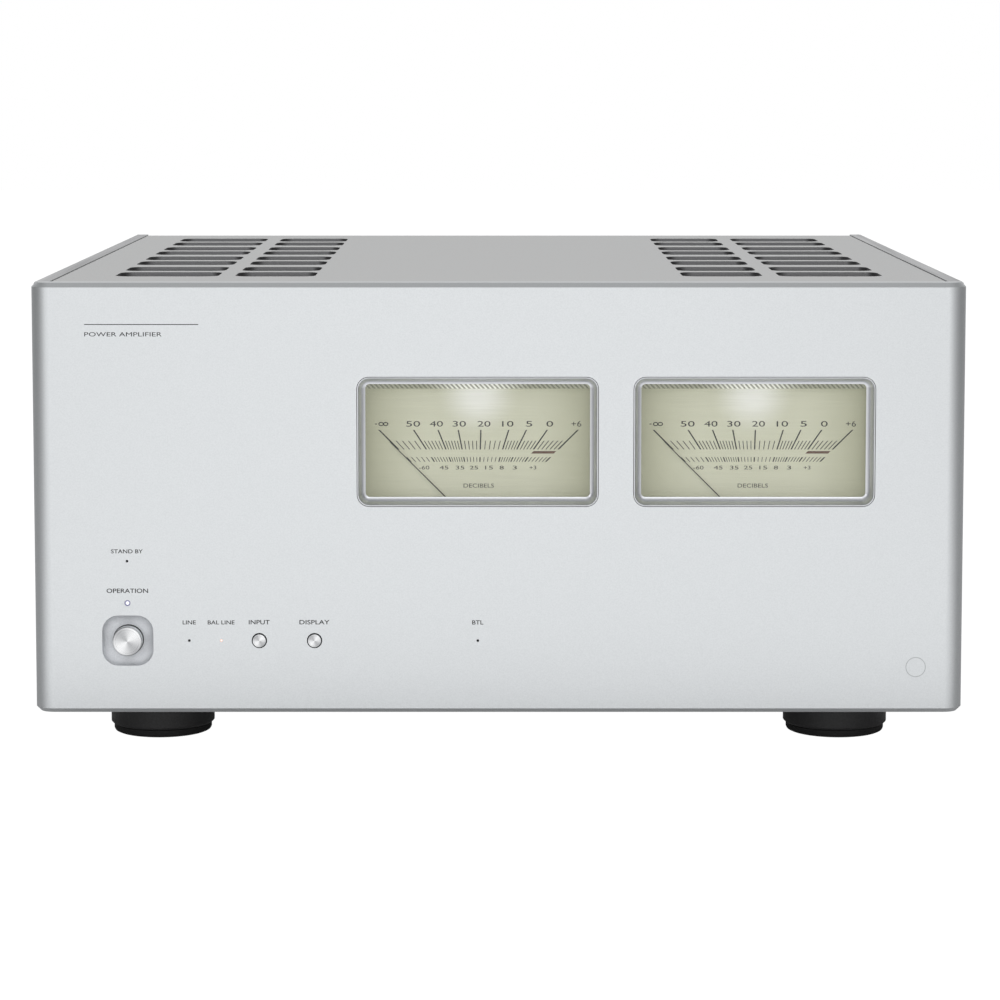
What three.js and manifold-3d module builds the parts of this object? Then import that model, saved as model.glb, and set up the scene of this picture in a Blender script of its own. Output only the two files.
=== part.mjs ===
// Stereo power amplifier with two level meters.
// Millimetres, +Z up, front face towards -Y, origin on the floor under the middle of the whole object.

import * as THREE from 'three';
import { mergeVertices } from 'three/addons/utils/BufferGeometryUtils.js';
import Module from 'manifold-3d';

const wasm = await Module();
wasm.setup();

// ---- Whole object ----
const bodyWidth = 440;
const panelHeight = 204;
const bodyDepth = 454;
const footHeight = 20;
const gap = 0.3; // clearance between separate pieces
const overrun = 1; // how far a cutting tool reaches past the face it cuts
const rooted = 0.5; // how far one solid is sunk into another that it is joined to

// ---- Front panel ----
const panelThickness = 12;
const panelCornerRadius = 9;
const panelChamfer = 2.1;

// ---- Casing ----
const sideThickness = 7.4;
const sideInset = 0.4; // side panels stand back from the front panel's ends
const sideEdgeRadius = 1.5;
const coverThickness = 4;
const coverDrop = 0.45; // cover lies this far below the side panels' top edges
const seam = 0.4; // visible seams of the casing
const rearThickness = 2.6;
const rearRecess = 4; // side panels reach past the rear panel
const bottomThickness = 3;

// ---- Vent slots of the cover: pairs of rows over each heat sink ----
const slotLength = 34;
const slotCorner = 7;
const outerSlotWidth = 50.3;
const innerSlotWidth = 39.1;
const slotColumnBar = 8;
const slotPairBar = 9.5;
const slotGroupBar = 16;
const firstSlotDepth = 56.4;
const slotRearMargin = 30; // least plate behind the last row
const slotSideMargin = 25.1; // plate between the slots and the cover's side edge
const bottomSlotWidth = 70;
const bottomSlotLength = 9;
const bottomSlotCorner = 4.4;
const bottomSlotPitch = 44;
const bottomSlotMargin = 10; // from the feet

// ---- Feet ----
const footRadius = 25.3;
const footChamfer = 1;
const padRadius = 23.9;
const padHeight = 3.6;
const padEdge = 1.6;
const footInset = 54.6; // foot's middle from the front panel's end
const footSetback = 62;

// ---- Meters ----
const meterMargin = 43.05; // from the right bezel to the panel's right end
const meterBar = 16.9; // panel between the two bezels
const meterDrop = 74.9; // meters' middle below the panel's top edge
const bezelWidth = 113.3;
const bezelHeight = 60.9;
const bezelCorner = 5.5;
const bezelLand = 0.4;
const bezelBorder = 3.65;
const meterOpeningCorner = 2;
const coveDepth = 6;
const windowLip = 1;
const windowOverlap = 1.6;
const needleRoom = 3.9; // from the window's back to the needle
const dialRoom = 1.1; // from the needle to the dial
const windowThickness = 1.5;
const housingOverlap = 4; // housing reaches past the window on each side
const housingRise = 33.4; // housing's top above the meter's middle
const housingBelowPivot = 11.1;
const housingDepth = 32;
const housingWall = 2;
const housingCorner = 4;
const dialThickness = 1;
const dialCorner = 1;
const pivotDrop = 43; // needle's pivot below the meter's middle
const needleThickness = 0.5;
const needleLength = 59;
const needleTail = 7;
const needleRootWidth = 0.6;
const needleTipWidth = 0.35;
const needleRestAngle = 45; // degrees left of upright
const hubRadius = 3.5;
const hubLength = 4;
const movementRadius = 7;

// ---- Buttons ----
const controlHeight = 54.6;
const powerInset = 44.6; // power button's middle from the panel's left end
const dishWidth = 24.2;
const dishHeight = 24;
const dishCorner = 7.7;
const dishSlope = 4.4;
const dishDepth = 3;
const powerRadius = 7;
const powerFaceRadius = 6.45;
const powerProud = 3;
const powerTravel = 3;
const inputOffset = 62.2; // from the power button's middle
const displayOffset = 88.3;
const smallRadius = 3.15;
const smallFaceRadius = 2.85;
const smallProud = 1;
const smallTravel = 1.5;
const smallButtonGap = 0.5;
const plungerRadius = 2;
const plungerLength = 7;
const flangeOverlap = 1.2;
const flangeThickness = 1.5;

// ---- Indicators ----
const operationRise = 17.9; // above the power button's middle
const operationRadius = 1.45;
const standbyRise = 37.9;
const dotRadius = 0.65;
const lineOffset = 29.1; // from the power button's middle
const balLineOffset = 44.2;
const lensRecess = 0.25;
const lensSkin = 2; // small bore before the wider bore behind it
const lensBodyRadius = 2;
const lensBodyEnd = 14;

// ---- Control board ----
const boardThickness = 1.6;
const controlBoardMargin = 11; // past the outermost parts on it
const controlBoardSpace = 22; // behind the front panel
const standoffRadius = 2.5;
const standoffInset = 4;
const switchSize = 11;
const switchDepth = 6;

// ---- Supply ----
const transformerWidth = 138;
const transformerDepth = 96;
const transformerHeight = 128;
const transformerSetback = 100;
const windingWidth = 92;
const windingDepth = 140;
const windingMargin = 22;
const windingCorner = 10;
const capacitorRadius = 35;
const capacitorHeight = 108;
const capacitorEdge = 2.5;
const capacitorClearance = 6; // between neighbouring capacitors
const capacitorSetback = 10; // behind the transformer
const supplyBoardMargin = 1;

// ---- Heat sinks and amplifier boards ----
const sinkBase = 8;
const sinkMargin = 1.3; // past the inner edge of the slots
const sinkTipMargin = 3.3; // past their outer edge
const sinkHeadroom = 8; // under the cover
const sinkSetback = 50;
const sinkRearRoom = 29.4; // to the rear panel
const finThickness = 3;
const finCount = 22;
const ampBoardMargin = 24; // inside the heat sink's outline
const transistorCount = 5;
const transistorSize = [6, 16, 20];

// ---- Rear connectors ----
const inputDrop = 58; // below the casing's top
const jackX = 36;
const jackRadius = 4.2;
const jackBore = 1.8;
const jackCollar = 6.5;
const jackCollarThickness = 2;
const jackProud = 10;
const jackTail = 5;
const jackInside = 14;
const socketX = 78;
const socketWidth = 26;
const socketHeight = 31;
const socketFlange = 2;
const socketCorner = 2;
const socketBarrel = 11.2;
const socketGrooveOuter = 9.6;
const socketGrooveInner = 7.9;
const socketGrooveDepth = 9;
const socketPinCircle = 4.2;
const socketPinHole = 1.3;
const socketInside = 18;
const modeLever = [4, 3.8];
const modeTravel = 4;
const modeSlotRoom = [2.5, 0.6]; // clearance at each end and side of the lever
const modeSlotCorner = 1;
const modeProud = 3;
const modePlateRim = [2.5, 1.6];
const modePlateThickness = 1.6;
const inputBoardMargin = 22; // past the sockets' middles
const inputBoardHeight = 48;
const inputBoardSpace = 22.4; // in front of the rear panel
const modeHousing = [22, 12];
const inletX = 0;
const inletRise = 46; // above the casing's bottom
const inletRecess = [24.6, 16.8];
const inletWall = 2.6;
const inletEar = 10;
const inletRim = 3;
const inletCorner = 3;
const inletRecessDepth = 17;
const inletInside = 26;
const inletFlangeThickness = 2.5;
const inletPin = [2, 4];
const inletPinLength = 11.8;
const inletPinSpread = 7;
const inletEarthLift = 2;
const inletScrewRadius = 1.7;

// ---- Loudspeaker terminals ----
const terminalProud = 28; // past the side panels' rear ends
const terminalInset = 80; // terminal pair's middle from the casing's side
const terminalRise = 58; // above the casing's bottom
const terminalSpread = 22;
const baseMargin = 11.2; // base past the knobs
const baseThickness = 5;
const baseCorner = 6;
const basePlugStep = 6; // plug through the rear panel is this much smaller all round
const basePlugDepth = 8;
const basePlugCorner = 3;
const studRadius = 3;
const studClearance = 0.4;
const ringRadius = 9;
const ringThickness = 4;
const knobRadius = 9.8;
const knobCap = 2.5;
const knobEdge = 1;

// ---- Places that follow from the sizes above ----
const fullDepth = powerProud + bodyDepth + terminalProud;
const frontFace = powerProud - fullDepth / 2;
const at = (depth) => frontFace + depth; // depth behind the front face -> y
const topHeight = footHeight + panelHeight;
const rearFace = bodyDepth - rearRecess;
const rearInner = rearFace - rearThickness;
const sideOuter = bodyWidth / 2 - sideInset;
const sideInner = sideOuter - sideThickness;
const coverHalf = sideInner - seam;
const coverTop = topHeight - coverDrop;
const floorOfCase = footHeight + gap + bottomThickness;
const slotPairPitch = 2 * slotLength + slotPairBar + slotGroupBar;
const slotRun = rearInner - seam - slotRearMargin - firstSlotDepth + slotGroupBar;
const slotPairs = Math.floor(slotRun / slotPairPitch);
const slotFieldOuter = coverHalf - slotSideMargin;
const slotFieldInner = slotFieldOuter - outerSlotWidth - slotColumnBar - innerSlotWidth;
const footSpread = bodyWidth / 2 - footInset;
const footDepths = { front: footSetback, rear: bodyDepth - footSetback };
const rightMeterX = bodyWidth / 2 - meterMargin - bezelWidth / 2;
const meterCentres = { left: rightMeterX - bezelWidth - meterBar, right: rightMeterX };
const meterOpeningWidth = bezelWidth - 2 * bezelBorder;
const meterOpeningHeight = bezelHeight - 2 * bezelBorder;
const meterHeight = topHeight - meterDrop;
const windowDepth = coveDepth + windowLip + gap;
const needleDepth = windowDepth + windowThickness + needleRoom;
const dialDepth = needleDepth + needleThickness + dialRoom;
const pivotHeight = meterHeight - pivotDrop;
const housingTop = meterHeight + housingRise;
const housingBottom = pivotHeight - housingBelowPivot;
const housingWidth = meterOpeningWidth + 2 * (windowOverlap + housingOverlap);
const powerX = -bodyWidth / 2 + powerInset;
const smallButtons = { input: powerX + inputOffset, display: powerX + displayOffset };
const indicators = {
  operation: { x: powerX, z: controlHeight + operationRise, radius: operationRadius },
  standby: { x: powerX, z: controlHeight + standbyRise, radius: dotRadius },
  line: { x: powerX + lineOffset, z: controlHeight, radius: dotRadius },
  bal_line: { x: powerX + balLineOffset, z: controlHeight, radius: dotRadius },
  btl: { x: meterCentres.left, z: controlHeight, radius: dotRadius },
};
const controlBoardLeft = powerX - powerRadius - controlBoardMargin;
const controlBoardTower = powerX + powerRadius + controlBoardMargin; // right edge of the board's tall end
const controlBoardRight = smallButtons.display + controlBoardMargin;
const controlBoardBottom = controlHeight - controlBoardMargin;
const controlBoardLow = controlHeight + controlBoardMargin; // top edge beside the tall end
const controlBoardTop = indicators.standby.z + controlBoardMargin;
const controlBoardDepth = panelThickness + controlBoardSpace;
const capacitorSpread = capacitorRadius + capacitorClearance / 2;
const frontCapacitors = transformerSetback + windingDepth + capacitorSetback + capacitorRadius;
const capacitorDepths = { front: frontCapacitors, rear: frontCapacitors + 2 * capacitorSpread };
const sinkInner = slotFieldInner - sinkMargin;
const sinkTip = slotFieldOuter + sinkTipMargin;
const sinkDepths = [sinkSetback, rearInner - sinkRearRoom];
const sinkFloor = floorOfCase + gap;
const sinkTop = coverTop - coverThickness - sinkHeadroom;
const inputHeight = topHeight - inputDrop;
const inputBoardDepth = rearInner - inputBoardSpace;
const inletHeight = footHeight + inletRise;
const inletBody = inletRecess.map((size) => size + 2 * inletWall);
const inletFlange = [inletBody[0] + 2 * inletEar, inletBody[1] + 2 * inletRim];
const inletScrew = (inletBody[0] + inletEar) / 2;
const terminalX = bodyWidth / 2 - terminalInset;
const terminalHeight = footHeight + terminalRise;
const baseWidth = 2 * (terminalSpread + knobRadius + baseMargin);
const baseHeight = 2 * (knobRadius + baseMargin);
const basePlug = [baseWidth - 2 * basePlugStep, baseHeight - 2 * basePlugStep];
const meterHole = { width: bezelWidth + 2 * gap, height: bezelHeight + 2 * gap, corner: bezelCorner + gap };

// ---- Materials ----
function finish(color, metalness, roughness) {
  return new THREE.MeshStandardMaterial({ color, metalness, roughness });
}
const silver = finish(0xd5d8da, 0.9, 0.45);
const brushed = finish(0xaeb0b2, 0.9, 0.4);
const spun = finish(0xe2e4e6, 1, 0.25);
const blackMetal = finish(0x202022, 0.5, 0.5);
const blackRubber = finish(0x151515, 0, 0.8);
const blackPlastic = finish(0x18181a, 0, 0.5);
const clear = finish(0xe8f0ee, 0, 0.05);
const champagne = finish(0xc9c9ae, 0.3, 0.5);
const greenBoard = finish(0x2a6a3c, 0, 0.6);
const steel = finish(0x8d9092, 0.8, 0.5);
const gold = finish(0xd8b25a, 1, 0.3);
const blueGlow = finish(0xdfe8ff, 0, 0.3);
const warmGlow = finish(0xffd9b8, 0, 0.3);
const smoked = finish(0x101012, 0, 0.2);

// ---- Solids ----
function toSolid(geometry) {
  const bare = geometry.index ? geometry.clone() : mergeVertices(geometry.clone());
  bare.deleteAttribute('normal');
  bare.deleteAttribute('uv');
  const merged = mergeVertices(bare, 1e-4);
  const index = merged.index.array;
  const triangles = [];
  for (let i = 0; i < index.length; i += 3) {
    const [a, b, c] = [index[i], index[i + 1], index[i + 2]];
    if (a !== b && b !== c && c !== a) triangles.push(a, b, c);
  }
  const vertProperties = new Float32Array(merged.attributes.position.array);
  const triVerts = new Uint32Array(triangles);
  return new wasm.Manifold(new wasm.Mesh({ numProp: 3, vertProperties, triVerts }));
}

function toGeometry(solid) {
  const mesh = solid.getMesh();
  const geometry = new THREE.BufferGeometry();
  geometry.setAttribute('position', new THREE.BufferAttribute(new Float32Array(mesh.vertProperties), 3));
  geometry.setIndex(new THREE.BufferAttribute(new Uint32Array(mesh.triVerts), 1));
  geometry.computeVertexNormals();
  return geometry;
}

function join(...geometries) {
  return toGeometry(geometries.map(toSolid).reduce((sum, next) => sum.add(next)));
}

function cut(body, ...tools) {
  return toGeometry(tools.map(toSolid).reduce((rest, tool) => rest.subtract(tool), toSolid(body)));
}

function box(xs, ys, zs) {
  const geometry = new THREE.BoxGeometry(xs[1] - xs[0], ys[1] - ys[0], zs[1] - zs[0]);
  return geometry.translate((xs[0] + xs[1]) / 2, (ys[0] + ys[1]) / 2, (zs[0] + zs[1]) / 2);
}

// Rectangle with round corners, as a Shape or as a hole's Path.
function roundedRect(width, height, radius, centreX = 0, centreY = 0, kind = THREE.Shape) {
  const path = new kind();
  const [x0, x1] = [centreX - width / 2, centreX + width / 2];
  const [y0, y1] = [centreY - height / 2, centreY + height / 2];
  path.moveTo(x0 + radius, y0);
  path.lineTo(x1 - radius, y0);
  path.absarc(x1 - radius, y0 + radius, radius, -Math.PI / 2, 0, false);
  path.lineTo(x1, y1 - radius);
  path.absarc(x1 - radius, y1 - radius, radius, 0, Math.PI / 2, false);
  path.lineTo(x0 + radius, y1);
  path.absarc(x0 + radius, y1 - radius, radius, Math.PI / 2, Math.PI, false);
  path.lineTo(x0, y0 + radius);
  path.absarc(x0 + radius, y0 + radius, radius, Math.PI, 1.5 * Math.PI, false);
  return path;
}

// Shape drawn in X and Y, lying flat between two heights.
function flat(shape, z0, z1, curveSegments = 2) {
  const geometry = new THREE.ExtrudeGeometry(shape, { depth: z1 - z0, bevelEnabled: false, curveSegments });
  return geometry.translate(0, 0, z0);
}

// Shape drawn in X and Z, standing upright between two depths behind the front face.
function upright(shape, depth0, depth1, curveSegments = 2) {
  const geometry = new THREE.ExtrudeGeometry(shape, {
    depth: depth1 - depth0, bevelEnabled: false, curveSegments,
  });
  return geometry.rotateX(Math.PI / 2).translate(0, at(depth1), 0);
}

// Hollow with coved walls: widest at the front face, its walls curving in to the shape at the given depth.
function coveTool(shape, slope, depth, curveSegments, coveSegments) {
  const reach = depth + 2 * overrun;
  const geometry = new THREE.ExtrudeGeometry(shape, {
    depth: reach, bevelEnabled: true, bevelSize: slope, bevelThickness: depth,
    bevelSegments: coveSegments, curveSegments,
  });
  return geometry.rotateX(Math.PI / 2).translate(0, at(0), 0);
}

// Turned piece from [radius, distance] points, with its axis front to back.
function turnedAcross(points, x, z, segments) {
  const profile = points.map(([radius, depth]) => new THREE.Vector2(radius, at(depth)));
  return new THREE.LatheGeometry(profile, segments).translate(x, 0, z);
}

// Turned piece from [radius, height] points, standing upright.
function turnedUp(points, x, y, segments) {
  const profile = points.map(([radius, height]) => new THREE.Vector2(radius, height));
  return new THREE.LatheGeometry(profile, segments).rotateX(Math.PI / 2).translate(x, y, 0);
}

function rod(radius, depth0, depth1, x, z, segments = 20) {
  return turnedAcross([[0, depth0], [radius, depth0], [radius, depth1], [0, depth1]], x, z, segments);
}

const amplifier = new THREE.Group();

function place(name, geometry, material) {
  const mesh = new THREE.Mesh(toGeometry(toSolid(geometry)), material);
  mesh.name = name;
  amplifier.add(mesh);
}

// ---- Front panel: thick plate with round upright edges, chamfered along top and bottom ----
function frontPanelBlank() {
  const half = bodyWidth / 2;
  const spare = 10; // drawn past the panel's back, then cut off square
  const drawnTo = panelThickness + spare;
  const plan = new THREE.Shape();
  plan.moveTo(-half + panelCornerRadius, at(0));
  plan.lineTo(half - panelCornerRadius, at(0));
  plan.absarc(half - panelCornerRadius, at(panelCornerRadius), panelCornerRadius, -Math.PI / 2, 0, false);
  plan.lineTo(half, at(drawnTo));
  plan.lineTo(-half, at(drawnTo));
  plan.lineTo(-half, at(panelCornerRadius));
  plan.absarc(-half + panelCornerRadius, at(panelCornerRadius), panelCornerRadius,
    Math.PI, 1.5 * Math.PI, false);
  const block = new THREE.ExtrudeGeometry(plan, {
    depth: panelHeight - 2 * panelChamfer, bevelEnabled: true, bevelSize: panelChamfer,
    bevelThickness: panelChamfer, bevelOffset: -panelChamfer, bevelSegments: 1, curveSegments: 5,
  }).translate(0, 0, footHeight + panelChamfer);
  const back = box([-half - overrun, half + overrun], [at(panelThickness), at(drawnTo + overrun)],
    [footHeight - overrun, topHeight + overrun]);
  return cut(block, back);
}

function powerDishTool() {
  const inner = roundedRect(dishWidth - 2 * dishSlope, dishHeight - 2 * dishSlope, dishCorner - dishSlope,
    powerX, controlHeight);
  return coveTool(inner, dishSlope, dishDepth, 3, 4);
}

function frontPanel() {
  const tools = [powerDishTool()];
  tools.push(rod(powerRadius + gap, -overrun, panelThickness + overrun, powerX, controlHeight, 28));
  for (const x of Object.values(smallButtons)) {
    tools.push(rod(smallRadius + smallButtonGap, -overrun, panelThickness + overrun, x, controlHeight, 20));
  }
  for (const { x, z, radius } of Object.values(indicators)) {
    tools.push(rod(radius, -overrun, lensSkin + overrun, x, z, 12));
    tools.push(rod(lensBodyRadius + gap, lensSkin, panelThickness + overrun, x, z, 12));
  }
  for (const x of Object.values(meterCentres)) {
    const hole = roundedRect(meterHole.width, meterHole.height, meterHole.corner, x, meterHeight);
    tools.push(upright(hole, -overrun, panelThickness + overrun, 3));
  }
  return cut(frontPanelBlank(), ...tools);
}
place('front_panel', frontPanel(), silver);

// ---- Top cover with its vent slots ----
function slotCentres() {
  const columns = [
    { x: slotFieldInner + innerSlotWidth / 2, width: innerSlotWidth },
    { x: slotFieldInner + innerSlotWidth + slotColumnBar + outerSlotWidth / 2, width: outerSlotWidth },
  ];
  const centres = [];
  for (let pair = 0; pair < slotPairs; pair += 1) {
    for (let row = 0; row < 2; row += 1) {
      const front = firstSlotDepth + pair * slotPairPitch + row * (slotLength + slotPairBar);
      for (const { x, width } of columns) {
        for (const side of [-1, 1]) centres.push({ x: side * x, depth: front + slotLength / 2, width });
      }
    }
  }
  return centres;
}

function topCover() {
  const front = at(panelThickness + seam);
  const rear = at(rearInner - seam);
  const plan = new THREE.Shape();
  plan.moveTo(-coverHalf, front);
  plan.lineTo(coverHalf, front);
  plan.lineTo(coverHalf, rear);
  plan.lineTo(-coverHalf, rear);
  for (const { x, depth, width } of slotCentres()) {
    plan.holes.push(roundedRect(width, slotLength, slotCorner, x, at(depth), THREE.Path));
  }
  return flat(plan, coverTop - coverThickness, coverTop);
}
place('top_cover', topCover(), silver);

// ---- Side panels: thick plates with rounded outer edges ----
function sidePanel(side) {
  const profile = new THREE.Shape();
  const edge = sideOuter - sideEdgeRadius;
  profile.moveTo(side * sideInner, footHeight);
  profile.lineTo(side * edge, footHeight);
  profile.absarc(side * edge, footHeight + sideEdgeRadius, sideEdgeRadius, -Math.PI / 2,
    side > 0 ? 0 : -Math.PI, side < 0);
  profile.lineTo(side * sideOuter, topHeight - sideEdgeRadius);
  profile.absarc(side * edge, topHeight - sideEdgeRadius, sideEdgeRadius, side > 0 ? 0 : Math.PI,
    Math.PI / 2, side < 0);
  profile.lineTo(side * sideInner, topHeight);
  return upright(profile, panelThickness + seam, bodyDepth);
}
place('side_panel_left', sidePanel(-1), brushed);
place('side_panel_right', sidePanel(1), brushed);

// ---- Bottom plate with air slots under the heat sinks ----
function bottomPlate() {
  const plan = new THREE.Shape();
  const [front, rear] = [at(panelThickness + seam), at(rearInner - seam)];
  plan.moveTo(-coverHalf, front);
  plan.lineTo(coverHalf, front);
  plan.lineTo(coverHalf, rear);
  plan.lineTo(-coverHalf, rear);
  const middle = (footDepths.front + footDepths.rear) / 2;
  const run = footDepths.rear - footDepths.front - 2 * (footRadius + bottomSlotMargin) - bottomSlotLength;
  const count = Math.floor(run / bottomSlotPitch) + 1;
  for (let i = 0; i < count; i += 1) {
    const y = at(middle + (i - (count - 1) / 2) * bottomSlotPitch);
    for (const side of [-1, 1]) {
      const x = side * (sinkInner + sinkTip) / 2;
      plan.holes.push(roundedRect(bottomSlotWidth, bottomSlotLength, bottomSlotCorner, x, y, THREE.Path));
    }
  }
  return flat(plan, footHeight + gap, floorOfCase, 1);
}
place('bottom_plate', bottomPlate(), steel);

// ---- Feet: turned bodies on rubber pads ----
for (const [row, depth] of Object.entries(footDepths)) {
  for (const [name, side] of [['left', -1], ['right', 1]]) {
    const [x, y] = [side * footSpread, at(depth)];
    const bodyBottom = padHeight + gap;
    place(`foot_${row}_${name}`, turnedUp([
      [0, bodyBottom], [footRadius - footChamfer, bodyBottom], [footRadius, bodyBottom + footChamfer],
      [footRadius, footHeight], [0, footHeight],
    ], x, y, 28), blackMetal);
    const low = padRadius - padEdge;
    const round = [30, 60].map((degrees) => {
      const angle = THREE.MathUtils.degToRad(degrees);
      return [low + padEdge * Math.sin(angle), padEdge * (1 - Math.cos(angle))];
    });
    place(`foot_pad_${row}_${name}`, turnedUp([
      [0, 0], [low, 0], ...round, [padRadius, padEdge], [padRadius, padHeight], [0, padHeight],
    ], x, y, 28), blackRubber);
  }
}

// ---- Meters ----
function meterBezel(x) {
  const outer = roundedRect(bezelWidth, bezelHeight, bezelCorner, x, meterHeight);
  const opening = roundedRect(meterOpeningWidth, meterOpeningHeight, meterOpeningCorner, x, meterHeight);
  const slope = bezelBorder - bezelLand;
  const rebate = roundedRect(meterOpeningWidth + 2 * (windowOverlap + gap),
    meterOpeningHeight + 2 * (windowOverlap + gap), meterOpeningCorner, x, meterHeight);
  return cut(
    upright(outer, 0, panelThickness, 3),
    coveTool(opening, slope, coveDepth, 3, 5),
    upright(opening, coveDepth - overrun, panelThickness + overrun, 3),
    upright(rebate, coveDepth + windowLip, panelThickness + overrun, 1),
  );
}

function meterHousing(x) {
  const middle = (housingTop + housingBottom) / 2;
  const height = housingTop - housingBottom;
  const [front, rear] = [panelThickness + gap, panelThickness + gap + housingDepth];
  const shell = cut(
    upright(roundedRect(housingWidth, height, housingCorner, x, middle), front, rear),
    upright(roundedRect(housingWidth - 2 * housingWall, height - 2 * housingWall,
      housingCorner - housingWall, x, middle), front - overrun, rear - housingWall, 1),
  );
  const movementFront = needleDepth + hubLength + gap;
  return join(shell, rod(movementRadius, movementFront, rear - housingWall / 2, x, pivotHeight, 20));
}

function meterNeedle(x) {
  const pointer = new THREE.Shape();
  pointer.moveTo(-needleRootWidth / 2, -needleTail);
  pointer.lineTo(needleRootWidth / 2, -needleTail);
  pointer.lineTo(needleTipWidth / 2, needleLength);
  pointer.lineTo(-needleTipWidth / 2, needleLength);
  const arm = new THREE.ExtrudeGeometry(pointer, { depth: needleThickness, bevelEnabled: false })
    .rotateX(Math.PI / 2)
    .rotateY(THREE.MathUtils.degToRad(-needleRestAngle))
    .translate(x, at(needleDepth + needleThickness), pivotHeight);
  return join(arm, rod(hubRadius, needleDepth, needleDepth + hubLength, x, pivotHeight, 16));
}

const dialWidth = housingWidth - 2 * housingWall - 2 * gap;
const dialTop = housingTop - housingWall - gap;
const dialBottom = pivotHeight + movementRadius + gap;
for (const [side, x] of Object.entries(meterCentres)) {
  place(`meter_bezel_${side}`, meterBezel(x), silver);
  const glass = roundedRect(meterOpeningWidth + 2 * windowOverlap, meterOpeningHeight + 2 * windowOverlap,
    meterOpeningCorner, x, meterHeight);
  place(`meter_window_${side}`, upright(glass, windowDepth, windowDepth + windowThickness), clear);
  place(`meter_housing_${side}`, meterHousing(x), blackPlastic);
  const dial = roundedRect(dialWidth, dialTop - dialBottom, dialCorner, x, (dialTop + dialBottom) / 2);
  place(`meter_dial_${side}`, upright(dial, dialDepth, dialDepth + dialThickness, 1), champagne);
  place(`meter_needle_${side}`, meterNeedle(x), smoked);
}

// ---- Buttons: turned caps that slide through the panel, each with a flange and a plunger behind it ----
function button(x, radius, faceRadius, proud, travel, segments) {
  const bevel = radius - faceRadius;
  const flange = panelThickness + gap;
  const plunger = flange + flangeThickness;
  return turnedAcross([
    [0, -proud], [faceRadius, -proud], [radius, bevel - proud], [radius, flange],
    [radius + flangeOverlap, flange], [radius + flangeOverlap, plunger], [plungerRadius, plunger],
    [plungerRadius, plunger + plungerLength - travel], [0, plunger + plungerLength - travel],
  ], x, controlHeight, segments);
}
place('power_button', button(powerX, powerRadius, powerFaceRadius, powerProud, powerTravel, 28), spun);
for (const [name, x] of Object.entries(smallButtons)) {
  place(`${name}_button`, button(x, smallRadius, smallFaceRadius, smallProud, smallTravel, 20), spun);
}

// ---- Indicator lenses: stepped light pipes from just below the panel's face ----
for (const [name, { x, z, radius }] of Object.entries(indicators)) {
  const material = { operation: blueGlow, bal_line: warmGlow }[name] ?? smoked;
  const tip = radius - gap;
  place(`${name}_lens`, turnedAcross([
    [0, lensRecess], [tip, lensRecess], [tip, lensSkin + gap], [lensBodyRadius, lensSkin + gap],
    [lensBodyRadius, lensBodyEnd], [0, lensBodyEnd],
  ], x, z, 12), material);
}

// ---- Control board with switches and standoffs ----
function controlBoard() {
  const outline = [
    [controlBoardLeft, controlBoardBottom], [controlBoardRight, controlBoardBottom],
    [controlBoardRight, controlBoardLow], [controlBoardTower, controlBoardLow],
    [controlBoardTower, controlBoardTop], [controlBoardLeft, controlBoardTop],
  ];
  const shape = new THREE.Shape(outline.map(([x, z]) => new THREE.Vector2(x, z)));
  const pieces = [upright(shape, controlBoardDepth, controlBoardDepth + boardThickness)];
  for (const x of [powerX, ...Object.values(smallButtons)]) {
    pieces.push(box([x - switchSize / 2, x + switchSize / 2],
      [at(controlBoardDepth - switchDepth), at(controlBoardDepth + rooted)],
      [controlHeight - switchSize / 2, controlHeight + switchSize / 2]));
  }
  const standoffs = [
    [controlBoardLeft + standoffInset, controlBoardBottom + standoffInset],
    [controlBoardRight - standoffInset, controlBoardBottom + standoffInset],
    [controlBoardLeft + standoffInset, controlBoardTop - standoffInset],
    [controlBoardTower - standoffInset, controlBoardTop - standoffInset],
  ];
  for (const [x, z] of standoffs) {
    pieces.push(rod(standoffRadius, panelThickness + gap, controlBoardDepth + rooted, x, z, 12));
  }
  return join(...pieces);
}
place('control_board', controlBoard(), greenBoard);

// ---- Mains transformer, capacitors and supply board ----
function transformer() {
  const base = floorOfCase + gap;
  const middle = transformerSetback + windingDepth / 2;
  const core = box([-transformerWidth / 2, transformerWidth / 2],
    [at(middle - transformerDepth / 2), at(middle + transformerDepth / 2)], [base, base + transformerHeight]);
  const winding = new THREE.ExtrudeGeometry(
    roundedRect(windingWidth, windingDepth, windingCorner, 0, at(middle)),
    { depth: transformerHeight - 2 * windingMargin, bevelEnabled: false, curveSegments: 2 },
  ).translate(0, 0, base + windingMargin);
  return join(core, winding);
}
place('transformer', transformer(), blackMetal);

const capacitorBase = floorOfCase + gap;
const capacitorTop = capacitorBase + capacitorHeight;
const supplyMiddle = (capacitorDepths.front + capacitorDepths.rear) / 2;
const supplyHalf = capacitorSpread + capacitorRadius + supplyBoardMargin;
for (const [row, depth] of Object.entries(capacitorDepths)) {
  for (const [name, side] of [['left', -1], ['right', 1]]) {
    place(`capacitor_${row}_${name}`, turnedUp([
      [0, capacitorBase], [capacitorRadius, capacitorBase], [capacitorRadius, capacitorTop - capacitorEdge],
      [capacitorRadius - capacitorEdge, capacitorTop], [0, capacitorTop],
    ], side * capacitorSpread, at(depth), 20), blackPlastic);
  }
}
place('supply_board', box([-supplyHalf, supplyHalf],
  [at(supplyMiddle - supplyHalf), at(supplyMiddle + supplyHalf)],
  [capacitorTop + gap, capacitorTop + gap + boardThickness]), greenBoard);

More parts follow.
